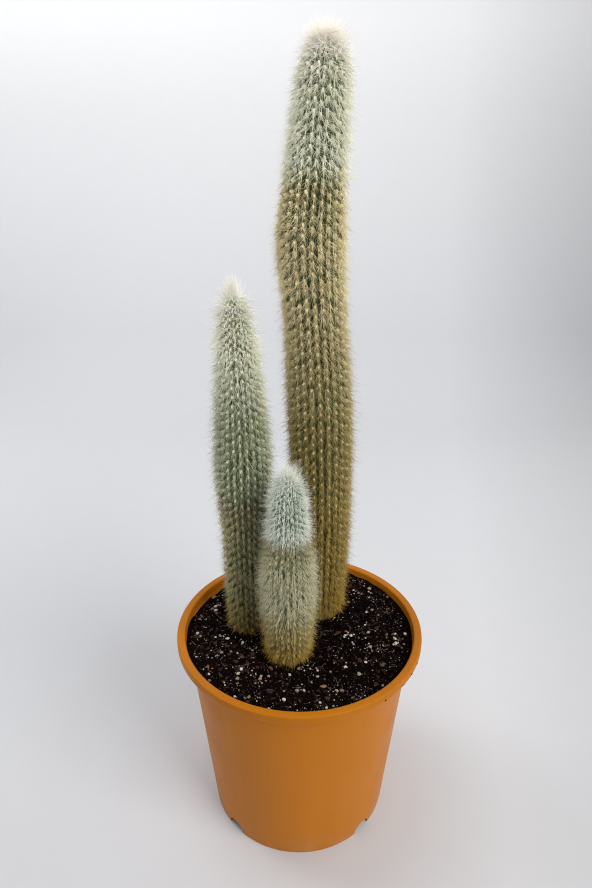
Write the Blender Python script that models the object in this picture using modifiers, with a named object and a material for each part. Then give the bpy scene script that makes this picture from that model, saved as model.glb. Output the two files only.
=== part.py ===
"""Potted columnar cactus: three ribbed, spiny stems in a tapered nursery pot of potting mix.

Units are metres and +Z is up. The origin lies under the middle of the pot, on the surface that the
pot stands on, and the photograph's viewpoint is on the -Y side.
Run it with: blender --background --python part.py
"""

import math
import random
from dataclasses import dataclass

import bmesh
import bpy
from mathutils import Matrix, Vector, noise

MM = 0.001
GOLDEN_ANGLE = math.pi * (3 - math.sqrt(5))
GAP = 0.3 * MM  # clearance between pieces that touch on the real plant

# The rim's outer diameter of 170 mm sets the scale of everything else.
POT_SIDES = 56  # a multiple of four, so that the rim's box is exactly its diameter
RIM_RADIUS = 85.0 * MM
RIM_LAND_WIDTH = 5.4 * MM
RIM_ROUND = 0.8 * MM
LIP_HEIGHT = 5.6 * MM
BEAD_HEIGHT = 2.6 * MM
BEAD_STEP = 1.0 * MM
POT_HEIGHT = 148.0 * MM
WALL_TOP_RADIUS = 77.1 * MM
FOOT_RADIUS = 64.3 * MM
WALL_THICKNESS = 1.6 * MM
FOOT_THICKNESS = 2.6 * MM
FLOOR_UNDERSIDE = 9.0 * MM
FLOOR_THICKNESS = 2.0 * MM
COLLAR_DEPTH = 6.4 * MM  # of the wider inside of the rim, down to the ledge that it stands on
LEDGE_HEIGHT = 2.4 * MM

NOTCH_COUNT = 4
NOTCH_FIRST_ANGLE = math.radians(45)
NOTCH_WIDTH = 14.0 * MM
NOTCH_HEIGHT = 8.0 * MM
DRAIN_COUNT = 4
DRAIN_RADIUS = 4.5 * MM
DRAIN_CIRCLE_RADIUS = 44.0 * MM
CENTRE_DRAIN_RADIUS = 6.0 * MM

SOIL_SIDES = 36
SOIL_RINGS = 8
SOIL_LEVEL = 143.3 * MM
SOIL_RELIEF = 1.2 * MM
SOIL_LUMP_SIZE = 13.0 * MM
SOIL_DIP = 2.6 * MM  # where the mix has sunk behind the middle stem
SOIL_DIP_CENTRE = (-62.0 * MM, 42.0 * MM)
SOIL_DIP_RADIUS = 26.0 * MM
SOIL_CLEARANCE = 0.5 * MM  # to the pot's wall, measured at the corners of both
PERLITE_GRAINS = 34
PERLITE_SIZES = (1.3 * MM, 2.1 * MM)

RIBS = 24
RIB_DEPTH = 2.4 * MM
NECK_BURIED = 38.0 * MM
NECK_TAPER = 0.72  # radius of the buried end over the radius at the soil
NECK_CLEAR_HEIGHT = 3.0 * MM  # above the soil level before the stem widens
HOLE_SIDES = 24
HOLE_CUT_ABOVE = 12.0 * MM  # how far over the soil level the holes' cutters reach
RIB_START = 18.0 * MM  # height above the soil over which the ribs reach their full depth
FULL_RIB_RADIUS = 12.0 * MM  # stem radius under which the ribs get shallower
CROWN_ROWS = tuple(math.radians(angle) for angle in (32, 58, 78))
CROWN_ZONE = 10.0 * MM  # below the shoulder, over which the spines start to stand up

SPINE_BASE_RADIUS = 0.45 * MM
SPINE_ROOT = 1.8 * MM
SPINE_OFF_CREST = 0.36  # how far down the flank from the rib's crest to its groove a spine is rooted
SPINE_LENGTHS = (6.5 * MM, 11.0 * MM)
SPINE_DROOP = (math.radians(-52), math.radians(8))
SPINE_SWING = math.radians(38)
CROWN_SPINE_TILT = math.radians(62)
SPINE_ROW_MARGIN = 0.12  # share of a row's height that spines keep from its ends
SHORTEST_SPINE = 3.0 * MM
CLEARANCE_BETWEEN_STEMS = 0.8 * MM

TERRACOTTA_PLASTIC = (0.47, 0.16, 0.022, 1.0)
DARK_PEAT = (0.016, 0.009, 0.006, 1.0)
SILVER_GREEN = (0.30, 0.32, 0.19, 1.0)


@dataclass
class Stem:
    """One upright stem: its middle line, its rib crests' radius, and how its crown closes."""

    name: str
    axis: tuple  # (height, x, y) in millimetres, from the soil up
    outline: tuple  # (height, radius over the rib crests) in millimetres, from the soil up
    shoulder: float  # height at which the rounded crown starts
    top: float  # height of the growing tip
    tuft_top: float  # height of the highest spine tip
    rows: int  # of vertices up the column; each rib flank carries a spine between two rows
    seed: int


STEMS = (
    Stem(
        name="stem_tall",
        axis=((143, 15, 27), (230, 14.7, 27), (304, 12.7, 27), (357, 9.5, 27),
              (404, 6.2, 27), (448, 8.7, 27), (503, 13.2, 27)),
        outline=((143, 16.0), (166, 18.2), (200, 19.6), (300, 20.8), (357, 19.4), (405, 20.7),
                 (440, 18.0), (485, 14.8)),
        shoulder=485,
        top=503,
        tuft_top=515,
        rows=10,
        seed=11,
    ),
    Stem(
        name="stem_middle",
        axis=((143, -36, 7), (228, -36.4, 7), (286, -36.4, 7), (338, -37.4, 7), (377, -39, 7)),
        outline=((143, 12.6), (167, 15.1), (217, 15.7), (233, 16.7), (263, 18.3), (299, 16.1),
                 (345, 11.8)),
        shoulder=345,
        top=377,
        tuft_top=387,
        rows=7,
        seed=12,
    ),
    Stem(
        name="stem_small",
        axis=((143, -7, -24), (202, -7.1, -24), (276, -6.8, -24)),
        outline=((143, 12.5), (154, 15.1), (186, 17.5), (216, 16.5), (226, 14.3), (247, 12.5)),
        shoulder=247,
        top=276,
        tuft_top=286,
        rows=5,
        seed=13,
    ),
)


def clear_scene():
    for obj in list(bpy.data.objects):
        bpy.data.objects.remove(obj, do_unlink=True)


def new_collection(name):
    collection = bpy.data.collections.new(name)
    bpy.context.scene.collection.children.link(collection)
    return collection


def plain_material(name, colour, roughness):
    material = bpy.data.materials.new(name)
    material.use_nodes = True
    shader = material.node_tree.nodes["Principled BSDF"]
    shader.inputs["Base Color"].default_value = colour
    shader.inputs["Roughness"].default_value = roughness
    shader.inputs["Metallic"].default_value = 0.0
    return material


def add_object(name, mesh, collection):
    obj = bpy.data.objects.new(name, mesh)
    collection.objects.link(obj)
    return obj


def add_part(name, mesh, collection, material):
    mesh.materials.append(material)
    return add_object(name, mesh, collection)


def add_cutter(name, mesh, collection, place):
    cutter = add_object(name, mesh, collection)
    cutter.matrix_world = place
    cutter.hide_render = True
    cutter.display_type = "WIRE"
    return cutter


def mesh_from(shape, name):
    """Ends a bmesh with its faces pointing out, as a mesh of its own."""
    bmesh.ops.recalc_face_normals(shape, faces=shape.faces)
    mesh = bpy.data.meshes.new(name)
    shape.to_mesh(mesh)
    shape.free()
    return mesh


def cylinder_mesh(name, sides, bottom_radius, top_radius, depth):
    shape = bmesh.new()
    bmesh.ops.create_cone(
        shape, cap_ends=True, segments=sides, radius1=bottom_radius, radius2=top_radius, depth=depth
    )
    return mesh_from(shape, name)


def cut_with(obj, cutter):
    boolean = obj.modifiers.new(cutter.name, "BOOLEAN")
    boolean.operation = "DIFFERENCE"
    boolean.solver = "EXACT"
    boolean.object = cutter


def fuse_collection(obj, pieces):
    """Joins every object of a collection into obj in one union, then removes them."""
    boolean = obj.modifiers.new("fuse", "BOOLEAN")
    boolean.operation = "UNION"
    boolean.solver = "EXACT"
    boolean.operand_type = "COLLECTION"
    boolean.collection = pieces
    graph = bpy.context.evaluated_depsgraph_get()
    fused = bpy.data.meshes.new_from_object(obj.evaluated_get(graph))
    obj.modifiers.remove(boolean)
    separate = obj.data
    obj.data = fused
    bpy.data.meshes.remove(separate)
    for piece in list(pieces.objects):
        bpy.data.objects.remove(piece, do_unlink=True)
    bpy.data.collections.remove(pieces)


def shade(obj, sharp_angle):
    obj.data.shade_smooth()
    obj.data.set_sharp_from_angle(angle=math.radians(sharp_angle))


def smooth_at(points, height):
    """Reads a value at a height from a smooth curve through (height, value) points."""
    if height <= points[0][0]:
        return points[0][1]
    if height >= points[-1][0]:
        return points[-1][1]
    k = next(i for i in range(len(points) - 1) if height <= points[i + 1][0])

    def slope(i):
        before, after = points[max(i - 1, 0)], points[min(i + 1, len(points) - 1)]
        return (after[1] - before[1]) / (after[0] - before[0])

    (start, low), (end, high) = points[k], points[k + 1]
    span = end - start
    t = (height - start) / span
    return (
        (2 * t**3 - 3 * t**2 + 1) * low
        + (t**3 - 2 * t**2 + t) * span * slope(k)
        + (3 * t**2 - 2 * t**3) * high
        + (t**3 - t**2) * span * slope(k + 1)
    )


def wall_radius(height):
    """The pot's outer wall between its foot and the bead under the lip."""
    wall_top = POT_HEIGHT - LIP_HEIGHT - BEAD_HEIGHT
    return FOOT_RADIUS + (WALL_TOP_RADIUS - FOOT_RADIUS) * height / wall_top


def inner_profile():
    """The inside of the pot from its floor up, as (radius, height): the wall, a ledge and the collar."""
    floor_top = FLOOR_UNDERSIDE + FLOOR_THICKNESS
    ledge_top = POT_HEIGHT - COLLAR_DEPTH
    ledge_bottom = ledge_top - LEDGE_HEIGHT
    collar_radius = RIM_RADIUS - RIM_LAND_WIDTH
    return (
        (wall_radius(floor_top) - WALL_THICKNESS, floor_top),
        (wall_radius(ledge_bottom) - WALL_THICKNESS, ledge_bottom),
        (collar_radius - RIM_ROUND, ledge_top),
        (collar_radius, POT_HEIGHT - RIM_ROUND),
    )


def inner_radius(height):
    for (low_radius, low), (high_radius, high) in zip(inner_profile(), inner_profile()[1:]):
        if height <= high:
            return low_radius + (high_radius - low_radius) * (height - low) / (high - low)
    return inner_profile()[-1][0]


def pot_profile():
    """Half of the pot's section as (radius, height): down the outside, in under the floor, and up."""
    lip_bottom = POT_HEIGHT - LIP_HEIGHT
    wall_top = lip_bottom - BEAD_HEIGHT
    bead_radius = WALL_TOP_RADIUS + BEAD_STEP
    floor_top = FLOOR_UNDERSIDE + FLOOR_THICKNESS
    return (
        (RIM_RADIUS - RIM_LAND_WIDTH + RIM_ROUND, POT_HEIGHT),
        (RIM_RADIUS - RIM_ROUND, POT_HEIGHT),
        (RIM_RADIUS, POT_HEIGHT - RIM_ROUND),
        (RIM_RADIUS, lip_bottom + RIM_ROUND),
        (RIM_RADIUS - RIM_ROUND, lip_bottom),
        (bead_radius, lip_bottom),
        (bead_radius, wall_top + BEAD_STEP),
        (WALL_TOP_RADIUS, wall_top),
        (FOOT_RADIUS, 0.0),
        (FOOT_RADIUS - FOOT_THICKNESS, 0.0),
        (wall_radius(FLOOR_UNDERSIDE) - FOOT_THICKNESS, FLOOR_UNDERSIDE),
        (CENTRE_DRAIN_RADIUS, FLOOR_UNDERSIDE),
        (CENTRE_DRAIN_RADIUS, floor_top),
        *inner_profile(),
    )


def turned_mesh(name, profile, sides):
    """Turns a closed half section about Z."""
    outline = bmesh.new()
    corners = [outline.verts.new((radius, 0.0, height)) for radius, height in profile]
    for corner, following in zip(corners, corners[1:] + corners[:1]):
        outline.edges.new((corner, following))
    mesh = bpy.data.meshes.new(name)
    outline.to_mesh(mesh)
    outline.free()
    turned = bpy.data.objects.new(name, mesh)
    bpy.context.scene.collection.objects.link(turned)
    screw = turned.modifiers.new("turn", "SCREW")
    screw.steps = sides
    screw.render_steps = sides
    screw.use_merge_vertices = True
    screw.merge_threshold = 0.00001
    graph = bpy.context.evaluated_depsgraph_get()
    result = bpy.data.meshes.new_from_object(turned.evaluated_get(graph))
    bpy.data.objects.remove(turned, do_unlink=True)
    bpy.data.meshes.remove(mesh)
    result.name = name
    return result


def make_pot(parts, cutters):
    plastic = plain_material("terracotta_plastic", TERRACOTTA_PLASTIC, 0.42)
    pot = add_part("pot", turned_mesh("pot", pot_profile(), POT_SIDES), parts, plastic)

    arch = cylinder_mesh("foot_notch", 14, NOTCH_WIDTH / 2, NOTCH_WIDTH / 2, 6 * FOOT_THICKNESS)
    arch_centre = NOTCH_HEIGHT - NOTCH_WIDTH / 2
    lying_radially = Matrix.Rotation(math.pi / 2, 4, "Y")
    for k in range(NOTCH_COUNT):
        turn = Matrix.Rotation(NOTCH_FIRST_ANGLE + k * math.tau / NOTCH_COUNT, 4, "Z")
        place = turn @ Matrix.Translation((FOOT_RADIUS, 0, arch_centre)) @ lying_radially
        cut_with(pot, add_cutter(f"foot_notch_{k + 1}", arch, cutters, place))

    drain = cylinder_mesh("drain_hole", 10, DRAIN_RADIUS, DRAIN_RADIUS, 3 * FLOOR_THICKNESS)
    floor_middle = FLOOR_UNDERSIDE + FLOOR_THICKNESS / 2
    for k in range(DRAIN_COUNT):
        turn = Matrix.Rotation(NOTCH_FIRST_ANGLE + k * math.tau / DRAIN_COUNT, 4, "Z")
        place = turn @ Matrix.Translation((DRAIN_CIRCLE_RADIUS, 0, floor_middle))
        cut_with(pot, add_cutter(f"drain_hole_{k + 1}", drain, cutters, place))
    shade(pot, 30)
    return pot


def soil_height(x, y):
    """The lumpy surface of the potting mix, just under the rim and a little sunk in one place."""
    lumps = noise.noise(Vector((x, y, 0.0)) / SOIL_LUMP_SIZE)
    fine = noise.noise(Vector((x, y, SOIL_LUMP_SIZE)) / (0.4 * SOIL_LUMP_SIZE))
    from_dip = math.hypot(x - SOIL_DIP_CENTRE[0], y - SOIL_DIP_CENTRE[1]) / SOIL_DIP_RADIUS
    return SOIL_LEVEL + SOIL_RELIEF * (0.7 * lumps + 0.3 * fine) - SOIL_DIP * math.exp(-(from_dip**2))


def soil_body():
    """A plug that fills the pot: one row of vertices at each ring of its top, its side and its base."""
    floor = FLOOR_UNDERSIDE + FLOOR_THICKNESS + GAP
    side_top = inner_profile()[1][1]
    reach = inner_radius(SOIL_LEVEL) - SOIL_CLEARANCE
    rows = SOIL_RINGS + 3
    shape = bmesh.new()
    bmesh.ops.create_uvsphere(shape, u_segments=SOIL_SIDES, v_segments=rows, radius=1.0)
    for vertex in shape.verts:
        row = round(math.acos(max(-1.0, min(1.0, vertex.co.z))) / math.pi * rows)
        angle = math.atan2(vertex.co.y, vertex.co.x)
        outward = Vector((math.cos(angle), math.sin(angle), 0.0))
        if row <= SOIL_RINGS:
            radius = reach * row / SOIL_RINGS
            height = soil_height(*(radius * outward).xy)
        else:
            height = side_top if row == SOIL_RINGS + 1 else floor
            radius = 0.0 if row == rows else inner_radius(height) - SOIL_CLEARANCE
        if row == SOIL_RINGS:
            height = max(height, side_top + GAP)
            radius = inner_radius(height) - SOIL_CLEARANCE
        vertex.co = radius * outward
        vertex.co.z = height
    return mesh_from(shape, "soil")


def distance_to_stems(x, y):
    return min(
        math.hypot(x - stem.axis[0][1] * MM, y - stem.axis[0][2] * MM) - stem.outline[0][1] * MM
        for stem in STEMS
    )


def scatter_perlite(grains):
    """White grains bedded in the surface along a sunflower spiral, clear of the stems and wall."""
    rng = random.Random(5)
    shape = bmesh.new()
    bmesh.ops.create_icosphere(shape, subdivisions=1, radius=1.0)
    grain = mesh_from(shape, "perlite_grain")
    largest = PERLITE_SIZES[1]
    reach = inner_radius(SOIL_LEVEL) - 2 * largest
    for k in range(PERLITE_GRAINS):
        radius = reach * math.sqrt((k + 0.5) / PERLITE_GRAINS)
        angle = k * GOLDEN_ANGLE + rng.uniform(-0.2, 0.2)
        x, y = radius * math.cos(angle), radius * math.sin(angle)
        if distance_to_stems(x, y) < 2 * largest:
            continue
        obj = add_object(f"perlite_{k + 1}", grain, grains)
        size = rng.uniform(*PERLITE_SIZES)
        obj.location = (x, y, soil_height(x, y) + 0.2 * size)
        obj.rotation_euler = [rng.uniform(0, math.tau) for _ in range(3)]
        obj.scale = (size, size * rng.uniform(0.7, 1.0), size * rng.uniform(0.6, 0.85))


def make_soil(parts, cutters):
    peat = plain_material("potting_mix", DARK_PEAT, 0.95)
    soil = add_part("soil", soil_body(), parts, peat)
    grains = new_collection("perlite")
    scatter_perlite(grains)
    fuse_collection(soil, grains)
    for stem in STEMS:
        cut_with(soil, stem_hole(stem, cutters))
    shade(soil, 35)
    return soil


def stem_hole(stem, cutters):
    """A plain tapered hole that the stem's buried neck stands in."""
    neck = stem.outline[0][1] * MM
    flat_to_corner = 1 / math.cos(math.pi / HOLE_SIDES)
    top_radius = (neck + GAP) * flat_to_corner
    bottom_radius = (neck * NECK_TAPER + GAP) * flat_to_corner
    buried = NECK_BURIED + GAP
    height = buried + HOLE_CUT_ABOVE
    cut_radius = top_radius + (top_radius - bottom_radius) * HOLE_CUT_ABOVE / buried
    mesh = cylinder_mesh(f"{stem.name}_hole", HOLE_SIDES, bottom_radius, cut_radius, height)
    _, x, y = stem.axis[0]
    place = Matrix.Translation((x * MM, y * MM, SOIL_LEVEL - buried + height / 2))
    return add_cutter(f"{stem.name}_hole", mesh, cutters, place)


def axis_point(stem, height):
    """The middle of the stem at a height in metres."""
    in_mm = height / MM
    x = smooth_at([(h, x) for h, x, _ in stem.axis], in_mm)
    y = smooth_at([(h, y) for h, _, y in stem.axis], in_mm)
    return Vector((x * MM, y * MM, height))


def crest_radius(stem, height):
    """The radius over the rib crests: tapering where buried, and closing in an ellipse at the crown."""
    neck = stem.outline[0][1] * MM
    if height <= SOIL_LEVEL + NECK_CLEAR_HEIGHT:
        depth = max(0.0, SOIL_LEVEL - height) / NECK_BURIED
        return neck * (1 - (1 - NECK_TAPER) * depth)
    widened = smooth_at(stem.outline, (height - NECK_CLEAR_HEIGHT) / MM) * MM
    above = (height / MM - stem.shoulder) / (stem.top - stem.shoulder)
    if above <= 0:
        return widened
    return stem.outline[-1][1] * MM * math.sqrt(max(0.0, 1 - above**2))


def rib_depth(stem, height):
    """Ribs start just above the soil and shrink with the stem's radius in the crown."""
    started = max(0.0, min(1.0, (height - SOIL_LEVEL) / RIB_START))
    return RIB_DEPTH * started * min(1.0, crest_radius(stem, height) / FULL_RIB_RADIUS)


def stem_levels(stem):
    """The heights of the rows of vertices, from the buried end to the growing tip."""
    buried_end = SOIL_LEVEL - NECK_BURIED
    foot = SOIL_LEVEL + NECK_CLEAR_HEIGHT
    shoulder = stem.shoulder * MM
    crown = stem.top * MM - shoulder
    column = [foot + (shoulder - foot) * k / stem.rows for k in range(stem.rows + 1)]
    dome = [shoulder + crown * math.sin(angle) for angle in CROWN_ROWS]
    return [buried_end, buried_end, SOIL_LEVEL, *column, *dome, stem.top * MM]


def stem_body(stem):
    """A column of rows, each with a vertex on every rib crest and in every groove."""
    levels = stem_levels(stem)
    last = len(levels) - 1
    shape = bmesh.new()
    bmesh.ops.create_uvsphere(shape, u_segments=2 * RIBS, v_segments=last, radius=1.0)
    for vertex in shape.verts:
        polar = math.acos(max(-1.0, min(1.0, vertex.co.z)))
        row = last - round(polar / math.pi * last)
        height = levels[row]
        angle = math.atan2(vertex.co.y, vertex.co.x)
        groove = (1 - math.cos(RIBS * angle)) / 2
        radius = crest_radius(stem, height) - rib_depth(stem, height) * groove
        if row in (0, last):
            radius = 0.0
        outward = Vector((math.cos(angle), math.sin(angle), 0.0))
        vertex.co = axis_point(stem, height) + radius * outward
    return mesh_from(shape, stem.name)


def clear_length(stem, root, direction, length):
    """Shortens a spine until its tip is on its own stem's side, and above the soil."""
    own = axis_point(stem, root.z)
    for other in STEMS:
        if other is stem:
            continue
        towards = axis_point(other, min(root.z, other.top * MM)) - own
        towards.z = 0.0
        apart = towards.length
        towards.normalize()
        own_radius = crest_radius(stem, root.z)
        other_radius = crest_radius(other, min(root.z, other.shoulder * MM))
        middle = (apart + own_radius - other_radius) / 2 - CLEARANCE_BETWEEN_STEMS
        already = (root - own).dot(towards)
        gain = direction.dot(towards)
        if gain > 0:
            length = min(length, (middle - already) / gain)
    drop = -direction.z
    if drop > 0:
        length = min(length, (root.z - SOIL_LEVEL - 2 * SOIL_RELIEF) / drop)
    return length


def spine_direction(rng, outward, age):
    """Old spines droop outwards, and those of the crown (age 0) stand up round the tip."""
    tilt = rng.uniform(*SPINE_DROOP) * age + CROWN_SPINE_TILT * (1 - age)
    swing = rng.uniform(-SPINE_SWING, SPINE_SWING)
    turned = Matrix.Rotation(swing, 3, "Z") @ outward
    return (turned * math.cos(tilt) + Vector((0.0, 0.0, math.sin(tilt)))).normalized()


def add_spine(spines, mesh, root, direction, length):
    """Places one needle so that length stands out of the stem and the rest is sunk in."""
    spine = add_object(f"{spines.name}_{len(spines.objects) + 1}", mesh, spines)
    whole = length + SPINE_ROOT
    middle = root + direction * (length - SPINE_ROOT) / 2
    spine.matrix_world = (
        Matrix.Translation(middle)
        @ direction.to_track_quat("Z", "Y").to_matrix().to_4x4()
        @ Matrix.Diagonal((1.0, 1.0, whole, 1.0))
    )


def flank_point(stem, height, rib, side):
    """A point on the flank of a rib, on the straight line from its crest to its groove."""
    points = []
    for share_of_pitch, inset in ((0.0, 0.0), (0.5, rib_depth(stem, height))):
        angle = math.tau * (rib + side * share_of_pitch) / RIBS
        outward = Vector((math.cos(angle), math.sin(angle), 0.0))
        points.append(axis_point(stem, height) + (crest_radius(stem, height) - inset) * outward)
    return points[0].lerp(points[1], SPINE_OFF_CREST)


def grow_spines(stem, spines, mesh):
    """One spine on each rib flank between two rows, at staggered heights, so that all sides are even."""
    rng = random.Random(stem.seed)
    levels = stem_levels(stem)[3:]
    crown_start = stem.shoulder * MM - CROWN_ZONE
    crown_height = stem.top * MM - crown_start
    for row, (low, high) in enumerate(zip(levels, levels[1:])):
        in_crown = low > crown_start
        for flank in range(2 * RIBS):
            crown_has_it = (flank + row) % 4 == 0
            column_has_it = (flank + row) % 3 > 0
            if not (crown_has_it if in_crown else column_has_it):
                continue
            rib, side = flank // 2, 1 if flank % 2 else -1
            staggered = (flank * GOLDEN_ANGLE + row) % 1.0
            share = 0.5 if in_crown else SPINE_ROW_MARGIN + (1 - 2 * SPINE_ROW_MARGIN) * staggered
            ends = [flank_point(stem, height, rib, side) for height in (low, high)]
            root = ends[0].lerp(ends[1], share)
            outward = root - axis_point(stem, root.z)
            outward.z = 0.0
            age = max(0.0, min(1.0, (stem.top * MM - root.z) / crown_height))
            direction = spine_direction(rng, outward.normalized(), age)
            length = clear_length(stem, root, direction, rng.uniform(*SPINE_LENGTHS))
            if root.z + direction.z * length > stem.tuft_top * MM:
                length = (stem.tuft_top * MM - root.z) / direction.z
            if length > SHORTEST_SPINE:
                add_spine(spines, mesh, root, direction, length)
    tip = axis_point(stem, stem.top * MM)
    add_spine(spines, mesh, tip, Vector((0.0, 0.0, 1.0)), (stem.tuft_top - stem.top) * MM)


def make_stem(stem, parts, skin):
    body = add_part(stem.name, stem_body(stem), parts, skin)
    spines = new_collection(f"{stem.name}_spines")
    needle = cylinder_mesh("spine", 3, SPINE_BASE_RADIUS, 0.0, 1.0)
    grow_spines(stem, spines, needle)
    fuse_collection(body, spines)
    shade(body, 25)
    return body


def main():
    clear_scene()
    parts = new_collection("potted_columnar_cactus")
    cutters = new_collection("cutters")
    make_pot(parts, cutters)
    make_soil(parts, cutters)
    skin = plain_material("cactus_skin", SILVER_GREEN, 0.7)
    for stem in STEMS:
        make_stem(stem, parts, skin)


main()
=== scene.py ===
"""The looks of the potted columnar cactus: three hairy, ribbed stems in a pot of dark potting mix.

Everything is in metres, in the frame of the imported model, with +Z up. The main sizes that open this
file are the ones of the part's source. Some edges, gaps, sides and crowns are finer here.
"""

import math
import random
from dataclasses import dataclass
from itertools import pairwise

import bmesh
import bpy
from mathutils import Matrix, Vector, noise

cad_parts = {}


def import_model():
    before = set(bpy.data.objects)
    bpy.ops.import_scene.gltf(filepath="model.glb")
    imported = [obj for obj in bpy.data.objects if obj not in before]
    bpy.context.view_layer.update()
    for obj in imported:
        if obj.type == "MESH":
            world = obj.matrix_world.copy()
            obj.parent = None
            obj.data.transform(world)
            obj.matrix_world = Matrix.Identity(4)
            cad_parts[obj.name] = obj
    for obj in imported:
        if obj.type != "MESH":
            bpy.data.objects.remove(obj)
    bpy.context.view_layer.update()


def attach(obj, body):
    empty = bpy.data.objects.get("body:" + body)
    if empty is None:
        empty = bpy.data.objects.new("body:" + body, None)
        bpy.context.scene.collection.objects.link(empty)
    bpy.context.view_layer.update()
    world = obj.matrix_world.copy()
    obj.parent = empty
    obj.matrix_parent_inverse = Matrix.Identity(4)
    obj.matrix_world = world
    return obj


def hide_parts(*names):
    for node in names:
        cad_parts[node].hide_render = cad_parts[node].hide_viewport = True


MM = 0.001
UP = Vector((0.0, 0.0, 1.0))
GOLDEN_ANGLE = math.pi * (3 - math.sqrt(5))
GAP = 0.3 * MM  # between pieces that touch

# The pot.
POT_SIDES = 192
RIM_RADIUS = 85.0 * MM
RIM_LAND_WIDTH = 5.4 * MM
RIM_ROUND = 1.1 * MM
EDGE_ROUND = 0.5 * MM
LIP_HEIGHT = 5.6 * MM
BEAD_HEIGHT = 2.6 * MM
BEAD_STEP = 1.0 * MM
BEAD_ROUND = 0.3 * MM
POT_HEIGHT = 148.0 * MM
LIP_EDGE_HEIGHT = POT_HEIGHT - LIP_HEIGHT
WALL_TOP_RADIUS = 77.1 * MM
FOOT_RADIUS = 64.3 * MM
WALL_THICKNESS = 1.6 * MM
FOOT_THICKNESS = 2.6 * MM
FLOOR_UNDERSIDE = 9.0 * MM
FLOOR_THICKNESS = 2.0 * MM
COLLAR_DEPTH = 6.4 * MM
COLLAR_DRAFT = 0.8 * MM  # how much narrower the collar is at its foot
LEDGE_HEIGHT = 2.4 * MM
NOTCH_COUNT = 4
NOTCH_FIRST_ANGLE = math.radians(45)
NOTCH_WIDTH = 14.0 * MM
NOTCH_HEIGHT = 8.0 * MM
DRAIN_RADIUS = 4.5 * MM
DRAIN_CIRCLE_RADIUS = 44.0 * MM
CENTRE_DRAIN_RADIUS = 6.0 * MM

# The potting mix.
SOIL_SIDES = 168
SOIL_RINGS = 66
SOIL_LEVEL = 143.3 * MM
SOIL_RELIEF = 1.2 * MM
SOIL_LUMP_SIZE = 13.0 * MM
SOIL_DIP = 2.6 * MM
SOIL_DIP_CENTRE = (-62.0 * MM, 42.0 * MM)
SOIL_DIP_RADIUS = 26.0 * MM
SOIL_CLEARANCE = 0.3 * MM
SOIL_MARGIN = 1.0 * MM  # that larger grains and fibres keep from the stems
CRUMB_RELIEF = 0.55 * MM
CRUMB_SIZE = 2.2 * MM
PATCHES_PER_METRE = 95.0  # of clustered grains
FULLEST_PATCH = 6.0  # times as many grains as the mean
FIBRE_COUNT = 360
FIBRE_MARGIN = 5.0 * MM  # from the pot's wall
FIBRE_RISE = 0.5 * MM  # above the mix
RIM_SPECKS_ARC = (-52, 20)  # in degrees round the lip
RIM_SPECKS_BAND = 0.8 * MM
CUT_ABOVE_SOIL = 12.0 * MM  # how far the cutters of the stems' holes stand out

# The stems.
RIBS = 24
RIB_DEPTH = 2.4 * MM
FLESH_INSET = 2.2 * MM  # the source's crests stand for the flesh with its thickest hair
RIB_START = 18.0 * MM
FULL_RIB_RADIUS = 16.0 * MM
COLUMNS_PER_RIB = 4
ROW_SPACING = 1.9 * MM
NECK_BURIED = 38.0 * MM
NECK_TAPER = 0.72
NECK_CLEAR_HEIGHT = 3.0 * MM
TUBERCLE_HEIGHT = 0.5 * MM
CROWN_AREOLE_RADIUS = 12.0 * MM  # stem radius under which the areoles crowd together
LEAST_CROWDING = 0.6
LEAST_AREOLE_SIZE = 0.55
LOWEST_AREOLE = 2.0 * MM  # above the mix
MOST_LOCKS = 200.0  # of hair on one areole
TUFT_REACH = 0.55  # of the crown's radius
STRAY_HAIR_START = 185.0 * MM

# The viewpoint of the photograph.
CAMERA_PLACE = (0.0, -0.3749, 0.4504)
CAMERA_PITCH = math.radians(23.65)
CAMERA_YAW = math.radians(0.36)
FOCAL_LENGTH = 660.0  # in pixels of a picture that is 888 pixels high
PICTURE_HEIGHT = 888.0
SENSOR_WIDTH = 36.0


@dataclass
class Stem:
    """One stem: its node, its form after the part's source, and how its hair changes with height."""

    name: str
    node: str
    axis: tuple  # (height, x, y) in millimetres
    outline: tuple  # (height, radius over the rib crests) in millimetres
    shoulder: float
    top: float
    pitches: tuple  # (height, distance between areoles along a rib) in millimetres
    cover: tuple  # (height, share of the full number of bristles)
    vigour: tuple  # (height, share of the full bristle length)
    root_spread: tuple  # (height, how widely an areole's bristles are rooted)
    bristle_tones: tuple  # (height, colour)
    wool_tones: tuple
    skin_tones: tuple
    bristles: int  # fine hairs on each areole
    radials: int  # stouter bristles on each areole
    parts: int  # pieces that its fine hair is shared between
    tuft_points: int
    tuft_bristles: int  # at each of the tuft's points
    tuft_length: float  # of the longest, in millimetres
    tuft_lift: float  # how far the bristles round the crown stand up: 0 is not at all, 1 is upright
    tuft_fan: float  # above 1 for a wide tuft, 0 for an upright one, below 0 for one that closes
    stray_length: float  # of the longest single hairs that stand out of the coat, in millimetres
    long_spines: tuple  # (lowest height, highest height, share of the areoles that bear one)
    seed: int


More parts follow.
